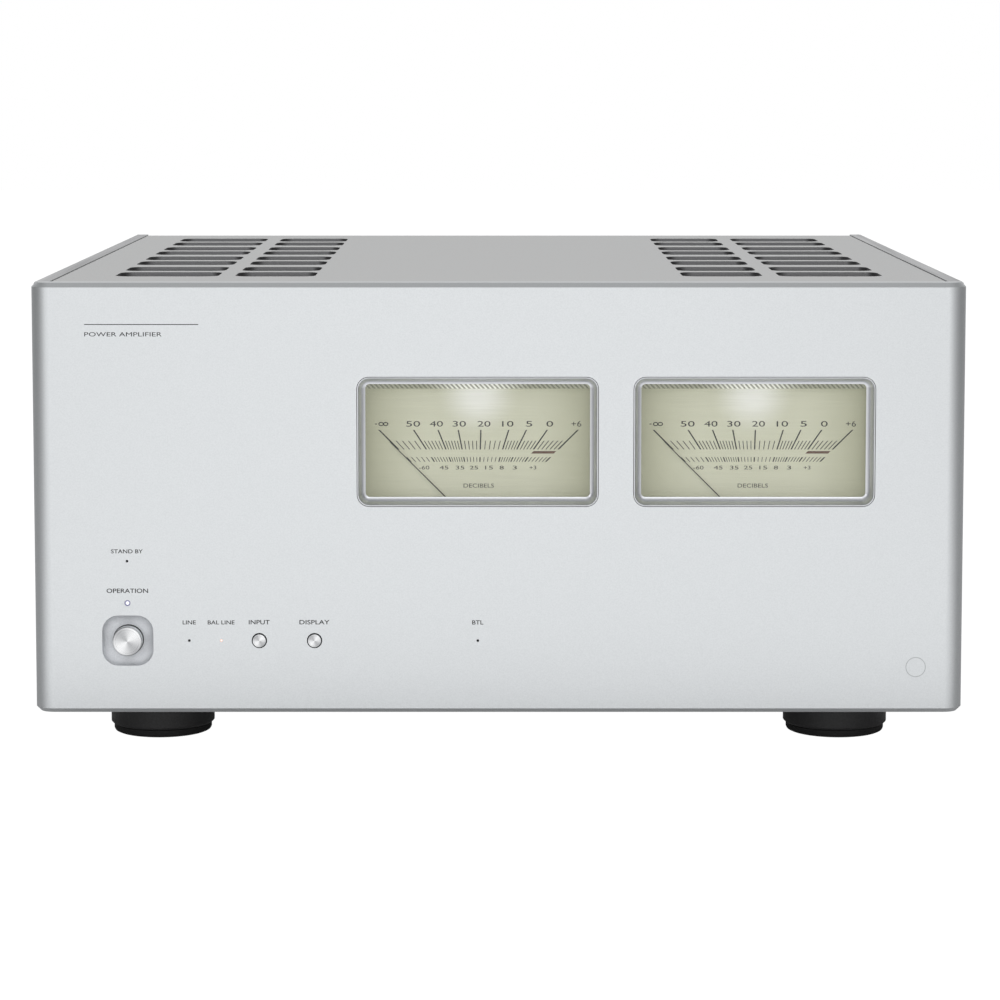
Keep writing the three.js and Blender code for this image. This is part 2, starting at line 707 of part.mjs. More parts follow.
// ---- Heat sinks: upright fins on a base, with an amplifier board on each ----
function heatSink(side) {
  const [front, rear] = [at(sinkDepths[0]), at(sinkDepths[1])];
  const finPitch = (rear - front - finThickness) / (finCount - 1);
  const [back, root, tip] = [sinkInner, sinkInner + sinkBase, sinkTip];
  const outline = [[back, rear], [back, front]];
  for (let i = 0; i < finCount; i += 1) {
    const y = front + i * finPitch;
    if (i > 0) outline.push([root, y]);
    outline.push([tip, y], [tip, y + finThickness]);
    if (i < finCount - 1) outline.push([root, y + finThickness]);
  }
  const plan = new THREE.Shape(outline.map(([x, y]) => new THREE.Vector2(side * x, y)));
  return flat(plan, sinkFloor, sinkTop);
}

function ampBoard(side) {
  const [thick, long, high] = transistorSize;
  const outer = sinkInner - gap;
  const boardOuter = outer - thick;
  const middle = at((sinkDepths[0] + sinkDepths[1]) / 2);
  const [bottom, top] = [sinkFloor + ampBoardMargin, sinkTop - ampBoardMargin];
  const length = sinkDepths[1] - sinkDepths[0] - 2 * ampBoardMargin;
  const spanX = (a, b) => (side > 0 ? [a, b] : [-b, -a]);
  const pieces = [box(spanX(boardOuter - boardThickness, boardOuter),
    [middle - length / 2, middle + length / 2], [bottom, top])];
  const pitch = length / transistorCount;
  for (let i = 0; i < transistorCount; i += 1) {
    const y = middle + (i - (transistorCount - 1) / 2) * pitch;
    const z = (bottom + top) / 2;
    pieces.push(box(spanX(boardOuter - rooted, outer), [y - long / 2, y + long / 2],
      [z - high / 2, z + high / 2]));
  }
  return join(...pieces);
}
for (const [name, side] of [['left', -1], ['right', 1]]) {
  place(`heat_sink_${name}`, heatSink(side), blackMetal);
  place(`amp_board_${name}`, ampBoard(side), greenBoard);
}

// ---- Rear panel with its cut-outs ----
function rearPanel() {
  const blank = box([-coverHalf, coverHalf], [at(rearInner), at(rearFace)], [footHeight + gap, coverTop]);
  const tools = [];
  const [from, to] = [rearInner - overrun, rearFace + overrun];
  const through = (shape) => tools.push(upright(shape, from, to, 1));
  for (const side of [-1, 1]) {
    through(roundedRect(basePlug[0] + 2 * gap, basePlug[1] + 2 * gap, basePlugCorner,
      side * terminalX, terminalHeight));
    tools.push(rod(jackTail + gap, from, to, side * jackX, inputHeight, 16));
    tools.push(rod(socketBarrel + gap, from, to, side * socketX, inputHeight, 20));
  }
  through(roundedRect(modeTravel + modeLever[0] + 2 * modeSlotRoom[0],
    modeLever[1] + 2 * modeSlotRoom[1], modeSlotCorner, 0, inputHeight));
  through(roundedRect(inletBody[0] + 2 * gap, inletBody[1] + 2 * gap, inletCorner, inletX, inletHeight));
  return cut(blank, ...tools);
}
place('rear_panel', rearPanel(), steel);

// ---- Inputs ----
function lineJack(x) {
  const collar = rearFace + gap;
  const tip = collar + jackCollarThickness + jackProud;
  const body = turnedAcross([
    [0, rearFace - jackInside], [jackTail, rearFace - jackInside], [jackTail, collar], [jackCollar, collar],
    [jackCollar, collar + jackCollarThickness], [jackRadius, collar + jackCollarThickness],
    [jackRadius, tip], [0, tip],
  ], x, inputHeight, 16);
  return cut(body, rod(jackBore, tip - jackProud, tip + overrun, x, inputHeight, 12));
}

function balancedSocket(x) {
  const flangeFront = rearFace + gap;
  const face = flangeFront + socketFlange;
  const body = join(
    upright(roundedRect(socketWidth, socketHeight, socketCorner, x, inputHeight),
      flangeFront, face, 1),
    rod(socketBarrel, rearFace - socketInside, face - rooted, x, inputHeight, 20),
  );
  const groove = cut(
    rod(socketGrooveOuter, face - socketGrooveDepth, face + overrun, x, inputHeight, 20),
    rod(socketGrooveInner, face - socketGrooveDepth - overrun, face + 2 * overrun, x, inputHeight, 20),
  );
  const pinHoles = [0, 1, 2].map((i) => {
    const angle = THREE.MathUtils.degToRad(-90 + (i - 1) * 90);
    const [dx, dz] = [socketPinCircle * Math.cos(angle), socketPinCircle * Math.sin(angle)];
    return rod(socketPinHole, face - socketGrooveDepth, face + overrun, x + dx, inputHeight + dz, 10);
  });
  return cut(body, groove, ...pinHoles);
}
for (const [name, side] of [['left', -1], ['right', 1]]) {
  place(`line_jack_${name}`, lineJack(side * jackX), gold);
  place(`bal_socket_${name}`, balancedSocket(side * socketX), blackPlastic);
}

const modePlateEnd = rearInner - gap;
const modePlateStart = modePlateEnd - modePlateThickness;
function inputBoard() {
  const half = socketX + inputBoardMargin;
  const board = box([-half, half],
    [at(inputBoardDepth), at(inputBoardDepth + boardThickness)],
    [inputHeight - inputBoardHeight / 2, inputHeight + inputBoardHeight / 2]);
  const housing = box([-modeHousing[0] / 2, modeHousing[0] / 2],
    [at(inputBoardDepth + rooted), at(modePlateStart - gap)],
    [inputHeight - modeHousing[1] / 2, inputHeight + modeHousing[1] / 2]);
  return join(board, housing);
}
place('input_board', inputBoard(), greenBoard);

function modeSwitch() {
  const x = -modeTravel / 2;
  const [halfWide, halfHigh] = modeLever.map((size) => size / 2);
  const [plateX, plateZ] = [halfWide + modePlateRim[0], halfHigh + modePlateRim[1]];
  const plate = box([x - plateX, x + plateX], [at(modePlateStart), at(modePlateEnd)],
    [inputHeight - plateZ, inputHeight + plateZ]);
  const lever = box([x - halfWide, x + halfWide], [at(modePlateStart + rooted), at(rearFace + modeProud)],
    [inputHeight - halfHigh, inputHeight + halfHigh]);
  return join(plate, lever);
}
place('mode_switch', modeSwitch(), blackPlastic);

// ---- Mains inlet ----
function powerInlet() {
  const flangeFront = rearFace + gap;
  const face = flangeFront + inletFlangeThickness;
  const shell = join(
    upright(roundedRect(...inletFlange, inletCorner, inletX, inletHeight), flangeFront, face),
    upright(roundedRect(...inletBody, inletCorner, inletX, inletHeight),
      rearFace - inletInside, face - rooted, 1),
  );
  const hollow = cut(shell,
    upright(roundedRect(...inletRecess, inletCorner, inletX, inletHeight),
      face - inletRecessDepth, face + overrun, 1),
    ...[-inletScrew, inletScrew].map((offset) => rod(inletScrewRadius, flangeFront - overrun,
      face + overrun, inletX + offset, inletHeight, 12)));
  const pins = [-1, 0, 1].map((i) => {
    const x = inletX + i * inletPinSpread;
    const z = inletHeight + (i === 0 ? inletEarthLift : -inletEarthLift);
    return box([x - inletPin[0] / 2, x + inletPin[0] / 2],
      [at(face - inletRecessDepth - rooted), at(face - inletRecessDepth + inletPinLength)],
      [z - inletPin[1] / 2, z + inletPin[1] / 2]);
  });
  return join(hollow, ...pins);
}
place('power_inlet', powerInlet(), blackPlastic);

// ---- Loudspeaker terminals: studs on a base, each with a clamp ring and a screwed knob ----
const baseFront = rearFace + gap;
const baseFace = baseFront + baseThickness;
const ringFront = baseFace + gap;
const knobFront = ringFront + ringThickness + gap;
const knobEnd = bodyDepth + terminalProud;
const boreRadius = studRadius + studClearance;

function speakerBase(x) {
  const studs = [-1, 1].map((i) => rod(studRadius, baseFace - rooted, knobEnd - knobCap - gap,
    x + i * terminalSpread, terminalHeight, 12));
  return join(
    upright(roundedRect(baseWidth, baseHeight, baseCorner, x, terminalHeight), baseFront, baseFace),
    upright(roundedRect(...basePlug, basePlugCorner, x, terminalHeight),
      rearFace - basePlugDepth, baseFront + rooted, 1),
    ...studs,
  );
}

function clampRing(x) {
  return turnedAcross([
    [boreRadius, ringFront], [ringRadius, ringFront], [ringRadius, ringFront + ringThickness],
    [boreRadius, ringFront + ringThickness], [boreRadius, ringFront],
  ], x, terminalHeight, 16);
}

function terminalKnob(x) {
  return turnedAcross([
    [0, knobEnd - knobCap], [boreRadius, knobEnd - knobCap], [boreRadius, knobFront],
    [knobRadius - knobEdge, knobFront], [knobRadius, knobFront + knobEdge], [knobRadius, knobEnd - knobEdge],
    [knobRadius - knobEdge, knobEnd], [0, knobEnd],
  ], x, terminalHeight, 16);
}

for (const [name, side] of [['left', -1], ['right', 1]]) {
  place(`speaker_base_${name}`, speakerBase(side * terminalX), blackPlastic);
  for (const [pole, offset] of [['inner', -terminalSpread], ['outer', terminalSpread]]) {
    const x = side * (terminalX + offset);
    place(`clamp_ring_${name}_${pole}`, clampRing(x), gold);
    place(`terminal_knob_${name}_${pole}`, terminalKnob(x), gold);
  }
}

export default amplifier;
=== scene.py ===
import math

import bpy
from mathutils import Matrix, Vector


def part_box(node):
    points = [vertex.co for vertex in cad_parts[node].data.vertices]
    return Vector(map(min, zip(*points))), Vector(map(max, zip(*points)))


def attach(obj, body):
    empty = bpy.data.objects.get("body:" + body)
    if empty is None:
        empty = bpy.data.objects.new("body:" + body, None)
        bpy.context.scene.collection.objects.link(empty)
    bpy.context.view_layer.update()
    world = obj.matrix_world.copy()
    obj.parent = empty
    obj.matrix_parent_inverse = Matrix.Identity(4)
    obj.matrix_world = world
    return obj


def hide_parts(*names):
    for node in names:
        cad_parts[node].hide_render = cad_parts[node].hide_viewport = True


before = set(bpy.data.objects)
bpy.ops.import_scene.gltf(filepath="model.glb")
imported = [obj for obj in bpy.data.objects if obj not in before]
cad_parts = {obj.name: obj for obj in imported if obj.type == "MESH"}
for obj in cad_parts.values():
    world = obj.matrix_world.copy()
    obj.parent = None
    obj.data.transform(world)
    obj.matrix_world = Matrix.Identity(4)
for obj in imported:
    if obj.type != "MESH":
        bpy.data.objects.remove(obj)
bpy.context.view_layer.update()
MM = 0.001

# ---- Camera ----
# It stands in front of the amplifier a little above its top edge and looks slightly down,
# with a small shift of the lens.
panel_low, panel_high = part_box("front_panel")
face_y = panel_low.y
camera_distance = 1.5406
camera_height = 0.3238
camera_tilt = math.radians(5.392)
camera_data = bpy.data.cameras.new("camera")
camera_data.sensor_width = 36
camera_data.lens = 118.68
camera_data.shift_y = -0.12
camera_data.clip_start = 0.05
camera_data.clip_end = 60
camera = bpy.data.objects.new("camera", camera_data)
camera.location = (0.0006, face_y - camera_distance, camera_height)
camera.rotation_euler = (math.pi / 2 - camera_tilt, 0, 0)
bpy.context.scene.collection.objects.link(camera)
bpy.context.scene.camera = camera
bpy.context.scene.view_settings.view_transform = "Standard"

# ---- Studio ----
# A white room, bright in front and behind and dim elsewhere, so that flat metal looks even and
# its rounded edges turn grey. Three soft panels light it, and the floor glows before the front.


def wire(tree, source, target):
    """Joins an output to an input, each given as (node, socket)."""
    tree.links.new(source[0].outputs[source[1]], target[0].inputs[target[1]])


def math_of(tree, kind, first, second=None, third=None, clamp=False):
    """A Math node on up to three inputs. Each is a number or (node, socket)."""
    node = tree.nodes.new("ShaderNodeMath")
    node.operation = kind
    node.use_clamp = clamp
    for index, value in enumerate((first, second, third)):
        if isinstance(value, tuple):
            wire(tree, value, (node, index))
        elif value is not None:
            node.inputs[index].default_value = value
    return node, 0


def mapped(tree, value, given, wanted, kind="LINEAR"):
    """Maps one range of a value to another. Each range is a pair of numbers."""
    node = tree.nodes.new("ShaderNodeMapRange")
    node.interpolation_type = kind
    for name, level in zip(("From Min", "From Max", "To Min", "To Max"), (*given, *wanted)):
        node.inputs[name].default_value = level
    wire(tree, value, (node, "Value"))
    return node, 0


def faded(tree, value, full, none):
    """A mask that is 1 where value is full, and falls smoothly to 0 where it is none."""
    return mapped(tree, value, (full, none), (1, 0), "SMOOTHSTEP")


def mixed_output(tree, share, first, second):
    """Sends a mix of two shaders to the material's output. The second has the given share."""
    mix = tree.nodes.new("ShaderNodeMixShader")
    wire(tree, share, (mix, 0))
    wire(tree, first, (mix, 1))
    wire(tree, second, (mix, 2))
    wire(tree, (mix, 0), (tree.nodes["Material Output"], 0))


# How bright the room is everywhere, and what is added straight in front, behind and overhead.
ROOM_LEVEL = 0.07
FRONT_LEVEL = 1.19
BACK_LEVEL = 0.72
TOP_LEVEL = 0.22
FRONT_FOCUS = 2.6
BACK_FOCUS = 2.0


def light_room():
    """A white room by its direction. The camera itself sees it plain white."""
    world = bpy.data.worlds.new("studio")
    bpy.context.scene.world = world
    world.use_nodes = True
    tree = world.node_tree
    background = tree.nodes["Background"]
    direction = tree.nodes.new("ShaderNodeTexCoord")
    parts = tree.nodes.new("ShaderNodeSeparateXYZ")
    wire(tree, (direction, "Generated"), (parts, 0))
    toward_front = math_of(tree, "MULTIPLY", (parts, 1), -1.0, clamp=True)
    toward_back = math_of(tree, "MULTIPLY", (parts, 1), 1.0, clamp=True)
    overhead = math_of(tree, "MULTIPLY", (parts, 2), 1.0, clamp=True)
    front_light = math_of(tree, "POWER", toward_front, FRONT_FOCUS)
    back_light = math_of(tree, "POWER", toward_back, BACK_FOCUS)
    level = math_of(tree, "MULTIPLY_ADD", front_light, FRONT_LEVEL, ROOM_LEVEL)
    for part, strength in ((back_light, BACK_LEVEL), (overhead, TOP_LEVEL)):
        level = math_of(tree, "MULTIPLY_ADD", part, strength, level)
    path = tree.nodes.new("ShaderNodeLightPath")
    brightness = tree.nodes.new("ShaderNodeMix")
    wire(tree, (path, "Is Camera Ray"), (brightness, 0))
    wire(tree, level, (brightness, 2))
    brightness.inputs[3].default_value = 1.0
    background.inputs["Color"].default_value = (1, 1, 1, 1)
    wire(tree, (brightness, 0), (background, "Strength"))


light_room()


def soft_panel(name, place, aim, size, power):
    """A soft rectangular lamp that faces the point aim. Power is in watts."""
    data = bpy.data.lights.new(name, "AREA")
    data.shape = "RECTANGLE"
    data.size, data.size_y = size
    data.energy = power
    lamp = bpy.data.objects.new(name, data)
    lamp.location = place
    lamp.rotation_euler = (Vector(aim) - Vector(place)).to_track_quat("-Z", "Y").to_euler()
    bpy.context.scene.collection.objects.link(lamp)


soft_panel("key_panel", (0.7, -2.2, 1.5), (0, 0, 0.12), (1.8, 1.0), 4)
soft_panel("fill_panel", (-1.2, -1.9, 0.7), (0, 0, 0.12), (0.7, 0.7), 2)
soft_panel("top_panel", (0, 0.5, 2.4), (0, 0.1, 0.2), (2.2, 1.6), 4)


# Where the lane is full and where it has faded: away from the middle, and back to the face.
FLOOR_SIZE = 14
FLOOR_GREY = (0.5, 0.5, 0.5, 1)
FLOOR_LEVEL = 0.10
FLOOR_LANE = 0.60
LANE_SIDES = (0.3, 0.85)
LANE_BACK = (face_y - 0.13, face_y - 0.01)
# The camera sees most of the floor as an even glow, and the rest as it is lit.
FLOOR_GLOW = 1.12
GLOW_SHARE = 0.9


def pale_floor():
    """A white floor whose glow is strong in a lane before the front and weak elsewhere."""
    bpy.ops.mesh.primitive_plane_add(size=FLOOR_SIZE, location=(0, 0, 0))
    floor = bpy.context.object
    floor.name = "floor"
    finish = bpy.data.materials.new("floor_white")
    finish.use_nodes = True
    tree = finish.node_tree
    shader = tree.nodes["Principled BSDF"]
    shader.inputs["Base Color"].default_value = FLOOR_GREY
    shader.inputs["Roughness"].default_value = 0.9
    glow = tree.nodes.new("ShaderNodeEmission")
    glow.inputs["Strength"].default_value = FLOOR_GLOW
    parts = tree.nodes.new("ShaderNodeSeparateXYZ")
    wire(tree, (tree.nodes.new("ShaderNodeTexCoord"), "Object"), (parts, 0))
    sideways = faded(tree, math_of(tree, "ABSOLUTE", (parts, 0)), *LANE_SIDES)
    backward = faded(tree, (parts, 1), *LANE_BACK)
    lane = math_of(tree, "MULTIPLY", sideways, backward)
    glowing = math_of(tree, "MULTIPLY_ADD", lane, FLOOR_LANE, FLOOR_LEVEL)
    shader.inputs["Emission Color"].default_value = (1, 1, 1, 1)
    wire(tree, glowing, (shader, "Emission Strength"))
    path = tree.nodes.new("ShaderNodeLightPath")
    share = math_of(tree, "MULTIPLY", (path, "Is Camera Ray"), GLOW_SHARE)
    mixed_output(tree, share, (shader, 0), (glow, 0))
    floor.data.materials.append(finish)


pale_floor()

# ---- Bottom plate ----
# A folded steel plate, painted satin black, that carries everything inside. It is screwed on
# from below, and long slots let cool air in under the heat sinks.


def new_group(name, inputs, outputs):
    """A node group with its inputs, each a name and a kind, and its plain outputs."""
    group = bpy.data.node_groups.new(name, "ShaderNodeTree")
    for socket, kind in inputs:
        group.interface.new_socket(socket, in_out="INPUT", socket_type=f"NodeSocket{kind}")
    for socket in outputs:
        group.interface.new_socket(socket, in_out="OUTPUT", socket_type="NodeSocketFloat")
    return group, group.nodes.new("NodeGroupInput"), group.nodes.new("NodeGroupOutput")


def surface_grain():
    """Noise on the piece's own coordinates. Stretch draws it out along an axis for brushed metal."""
    group, given, result = new_group("surface_grain", (("Scale", "Float"), ("Stretch", "Vector")),
                                     ("Shade",))
    place = group.nodes.new("ShaderNodeTexCoord")
    scaled = group.nodes.new("ShaderNodeVectorMath")
    scaled.operation = "MULTIPLY"
    noise = group.nodes.new("ShaderNodeTexNoise")
    noise.inputs["Detail"].default_value = 3
    wire(group, (place, "Object"), (scaled, 0))
    wire(group, (given, "Stretch"), (scaled, 1))
    wire(group, (scaled, 0), (noise, "Vector"))
    wire(group, (given, "Scale"), (noise, "Scale"))
    wire(group, (noise, 0), (result, "Shade"))
    return group


grain_group = surface_grain()


def srgb(red, green, blue):
    """A colour as seen on a screen, 0 to 255, as the linear numbers that a shader takes."""
    levels = [value / 255 for value in (red, green, blue)]
    linear = [v / 12.92 if v < 0.04045 else ((v + 0.055) / 1.055) ** 2.4 for v in levels]
    return (*linear, 1)


def ranged(tree, value, low, high):
    """Maps the middle of a noise to the range from low to high."""
    return mapped(tree, value, (0.3, 0.7), (low, high))


def darkened(tree, colour, shade, spread):
    """A colour that the grain makes darker by up to spread."""
    mix = tree.nodes.new("ShaderNodeMix")
    mix.data_type = "RGBA"
    mix.inputs[6].default_value = colour
    mix.inputs[7].default_value = (*[channel * (1 - spread) for channel in colour[:3]], 1)
    wire(tree, ranged(tree, shade, 0, 1), (mix, 0))
    return mix, 2


def plain_finish(name, colour, roughness, metallic):
    """A new finish, with its node tree and its shader."""
    finish = bpy.data.materials.new(name)
    finish.use_nodes = True
    shader = finish.node_tree.nodes["Principled BSDF"]
    shader.inputs["Base Color"].default_value = colour
    shader.inputs["Roughness"].default_value = roughness
    shader.inputs["Metallic"].default_value = metallic
    return finish, finish.node_tree, shader


def grain_node(tree, scale, stretch):
    """The grain as one float, in a finish's own tree."""
    node = tree.nodes.new("ShaderNodeGroup")
    node.node_tree = grain_group
    node.inputs["Scale"].default_value = scale
    node.inputs["Stretch"].default_value = stretch
    return node, "Shade"


def grained_finish(name, colour, roughness, metallic, scale, stretch=(1, 1, 1), depth=0.02,
                   spread=0.08, rough_spread=0.06):
    """A finish whose colour, gloss and height follow one fine grain. Depth is in millimetres."""
    finish, tree, shader = plain_finish(name, colour, roughness, metallic)
    shade = grain_node(tree, scale, stretch)
    wire(tree, darkened(tree, colour, shade, spread), (shader, "Base Color"))
    low, high = roughness - rough_spread, roughness + rough_spread
    wire(tree, ranged(tree, shade, low, high), (shader, "Roughness"))
    bump = tree.nodes.new("ShaderNodeBump")
    bump.inputs["Strength"].default_value = 0.5
    bump.inputs["Distance"].default_value = depth * MM
    wire(tree, shade, (bump, "Height"))
    wire(tree, (bump, 0), (shader, "Normal"))
    return finish


def coat(node, finish):
    """Gives a CAD part its finish."""
    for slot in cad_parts[node].material_slots:
        slot.material = finish


def solo(piece):
    """Makes a piece the only selected one, and the active one."""
    bpy.ops.object.select_all(action="DESELECT")
    piece.select_set(True)
    bpy.context.view_layer.objects.active = piece


def apply_modifier(piece, kind, **settings):
    """Adds a modifier and works it into the mesh."""
    solo(piece)
    modifier = piece.modifiers.new(kind.lower(), kind)
    for name, value in settings.items():
        setattr(modifier, name, value)
    bpy.ops.object.modifier_apply(modifier=modifier.name)


# Edges that turn by more than the bevel angle are broken. Those that turn by less than the
# smooth angle are shaded as round, and points nearer than the merge distance become one.
BEVEL_ANGLE = 30
SMOOTH_ANGLE = 38
MERGE = 0.002 * MM


def smoothed(piece, degrees=SMOOTH_ANGLE):
    """Shades as round the edges that turn by less than an angle."""
    solo(piece)
    bpy.ops.object.shade_smooth_by_angle(angle=math.radians(degrees))


def rounded_edges(piece, width, segments=2):
    """Breaks the sharp edges, smooths the round ones and keeps the flat faces flat."""
    apply_modifier(piece, "BEVEL", width=width * MM, segments=segments, limit_method="ANGLE",
                   angle_limit=math.radians(BEVEL_ANGLE))
    smoothed(piece)
    apply_modifier(piece, "WEIGHTED_NORMAL", keep_sharp=True, weight=100)


def ride_as(piece, finish, body="root", stands_for=()):
    """Finishes a piece: its material, the body it moves with and what it stands for."""
    piece.data.materials.clear()
    piece.data.materials.append(finish)
    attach(piece, body)
    if stands_for:
        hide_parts(*stands_for)
    return piece


def machined(node, name, edge, finish, body="root", segments=2):
    """A CAD part's own shape with its triangles merged and its sharp edges broken."""
    piece = bpy.data.objects.new(name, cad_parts[node].data.copy())
    bpy.context.scene.collection.objects.link(piece)
    solo(piece)
    bpy.ops.mesh.customdata_custom_splitnormals_clear()
    bpy.ops.object.mode_set(mode="EDIT")
    bpy.ops.mesh.select_all(action="SELECT")
    bpy.ops.mesh.remove_doubles(threshold=MERGE)
    bpy.ops.mesh.dissolve_limited(angle_limit=math.radians(0.4))
    bpy.ops.object.mode_set(mode="OBJECT")
    rounded_edges(piece, edge, segments)
    return ride_as(piece, finish, body, [node])


black_paint = grained_finish("black_paint", srgb(38, 38, 39), 0.42, 0.0, 1600, depth=0.03)
machined("bottom_plate", "bottom_tray", 0.3, black_paint)

# ---- Feet ----
# Four turned feet of cast iron with a textured black coat, each with a rubber pad let into
# its underside. A screw through the bottom plate holds each foot.


def closed_disc(name, sides, radius, height):
    """A flat many-sided face round the Z axis. Radius and height are in mm."""
    bpy.ops.mesh.primitive_circle_add(vertices=sides, radius=radius * MM, fill_type="NGON",
                                      location=(0, 0, 0))
    piece = bpy.context.object
    piece.name = name
    piece.location = (0, 0, height * MM)
    bpy.ops.object.transform_apply(location=True, rotation=True, scale=True)
    return piece


def turned(name, outline, sides=64):
    """A turned piece on the Z axis, drawn out from each (radius, height) to the next, in mm."""
    radius, height = outline[0]
    piece = closed_disc(name, sides, radius, height)
    bpy.ops.object.mode_set(mode="EDIT")
    bpy.ops.mesh.select_all(action="SELECT")
    for wider, higher in outline[1:]:
        rise = (0, 0, (higher - height) * MM)
        bpy.ops.mesh.extrude_region_move(TRANSFORM_OT_translate={"value": rise})
        bpy.ops.transform.resize(value=(wider / radius, wider / radius, 1))
        radius, height = wider, higher
    bpy.ops.mesh.select_all(action="SELECT")
    bpy.ops.mesh.remove_doubles(threshold=MERGE)
    bpy.ops.mesh.normals_make_consistent(inside=False)
    bpy.ops.object.mode_set(mode="OBJECT")
    return piece


def settle(piece, turn=(0, 0, 0), place=(0, 0, 0)):
    """Turns and moves a piece, and leaves its place in its mesh."""
    solo(piece)
    piece.rotation_euler = turn
    piece.location = place
    bpy.ops.object.transform_apply(location=True, rotation=True, scale=True)
    return piece


def copied(piece, name, shift):
    """A copy with its own mesh, moved by shift."""
    twin = bpy.data.objects.new(name, piece.data.copy())
    twin.data.transform(Matrix.Translation(shift))
    bpy.context.scene.collection.objects.link(twin)
    return twin


FINE_SIDES = 96
foot_iron = grained_finish("foot_iron", srgb(50, 50, 51), 0.46, 0.0, 1300, depth=0.12, spread=0.3)
pad_rubber = grained_finish("pad_rubber", srgb(26, 26, 27), 0.7, 0.0, 2200, depth=0.05, spread=0.2)


def foot(name, pad_name):
    """A turned foot with a groove below its top, and the rubber pad in its underside."""
    low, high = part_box(name)
    middle = (low + high) / 2
    radius = (high.x - low.x) / 2 / MM
    bottom, top = low.z / MM, high.z / MM
    chamfer, rim, hollow = 1.0, 4.2, 1.2
    groove_top, groove_tall, groove_deep, slant = top - 3.2, 0.6, 0.5, 0.3
    groove_foot = groove_top - groove_tall
    body = turned(f"{name}_casting", [
        (radius - rim - 1.8, bottom + hollow), (radius - rim, bottom), (radius - chamfer, bottom),
        (radius, bottom + chamfer), (radius, groove_foot - slant), (radius - groove_deep, groove_foot),
        (radius - groove_deep, groove_top), (radius, groove_top + slant), (radius, top - chamfer),
        (radius - chamfer, top),
    ], FINE_SIDES)
    settle(body, place=(middle.x, middle.y, 0))
    rounded_edges(body, 0.12)
    ride_as(body, foot_iron, stands_for=[name])
    pad_low, pad_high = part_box(pad_name)
    pad_radius = (pad_high.x - pad_low.x) / 2 / MM
    thick = pad_high.z / MM
    tread, wall, round_edge, dimple = 7.6, 4, 1.6, 0.8
    pad = turned(f"{pad_name}_ring", [
        (pad_radius - tread - 1.4, dimple), (pad_radius - tread, 0), (pad_radius - round_edge, 0),
        (pad_radius - 0.5, 0.5), (pad_radius, round_edge), (pad_radius, thick),
        (pad_radius - wall, thick),
    ], FINE_SIDES)
    settle(pad, place=(middle.x, middle.y, 0))
    rounded_edges(pad, 0.2)
    ride_as(pad, pad_rubber, stands_for=[pad_name])


for row in ("front", "rear"):
    for side in ("left", "right"):
        foot(f"foot_{row}_{side}", f"foot_pad_{row}_{side}")

# ---- Power supply ----
# A laminated transformer with its winding under varnished tape, four reservoir capacitors in
# printed sleeves, and the rectifier board that bridges them. All stand on the bottom plate.

core_steel = grained_finish("core_steel", srgb(52, 50, 50), 0.5, 0.6, 900, (1, 1, 40), depth=0.05)
sleeve = grained_finish("capacitor_sleeve", srgb(28, 32, 42), 0.35, 0.0, 700, depth=0.02)
board_green = grained_finish("circuit_board", srgb(28, 78, 52), 0.4, 0.0, 420, (1, 8, 1), depth=0.05,
                             spread=0.35)
coat("transformer", core_steel)
for row in ("front", "rear"):
    for side in ("left", "right"):
        coat(f"capacitor_{row}_{side}", sleeve)
coat("supply_board", board_green)

# ---- Amplifier channels ----
# One black anodised, extruded heat sink a side, with upright fins under the cover's slots.
# The output transistors and their board are screwed to its flat back.

sink_black = grained_finish("sink_black", srgb(54, 54, 56), 0.38, 0.75, 1200, (6, 6, 1), depth=0.02)
for side in ("left", "right"):
    coat(f"heat_sink_{side}", sink_black)
    coat(f"amp_board_{side}", board_green)

# ---- Rear panel ----
# Aluminium sheet, blasted and anodised, with cut-outs for the sockets. Star-socket screws
# along its edges hold it to the bottom plate and the cover rails.

rear_low, rear_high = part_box("rear_panel")
rear_face = rear_high.y
sheet_silver = grained_finish("sheet_silver", srgb(212, 214, 216), 0.44, 0.9, 1500, depth=0.012)
machined("rear_panel", "rear_sheet", 0.25, sheet_silver)
screw_black = grained_finish("screw_black", srgb(30, 30, 31), 0.32, 0.8, 2500, depth=0.01)
FACING_BACK = (-math.pi / 2, 0, 0)
FACING_FRONT = (math.pi / 2, 0, 0)
HEAD_GAP = 0.02 * MM


def pick(piece, kind, is_picked):
    """Opens a piece for editing with only the picked vertices or polygons selected."""
    bpy.ops.object.mode_set(mode="EDIT")
    bpy.ops.mesh.select_all(action="DESELECT")
    bpy.ops.object.mode_set(mode="OBJECT")
    for item in getattr(piece.data, kind):
        item.select = is_picked(item)
    bpy.ops.object.mode_set(mode="EDIT")


def star_screw(name, radius, thick):
    """A low round head with a star socket, on the Z axis with its underside at zero."""
    edge, socket, deep = 0.5, radius * 0.5, 0.9
    head = turned(name, [
        (radius - 0.1, 0), (radius, 0.15), (radius, thick - edge), (radius - edge, thick),
        (socket, thick), (socket, thick - deep), (socket * 0.3, thick - deep - 0.1),
    ], 24)
    step = math.tau / 12

    def on_point(vertex):
        reach = math.hypot(vertex.co.x, vertex.co.y) / MM
        angle = math.atan2(vertex.co.y, vertex.co.x) / step
        return abs(reach - socket) < 0.01 and abs(angle - 2 * round(angle / 2)) < 0.1

    pick(head, "vertices", on_point)
    bpy.ops.transform.resize(value=(1.3, 1.3, 1))
    bpy.ops.object.mode_set(mode="OBJECT")
    smoothed(head)
    return head


def middle_of(node):
    """The middle of a CAD part's box."""
    low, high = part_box(node)
    return (low + high) / 2


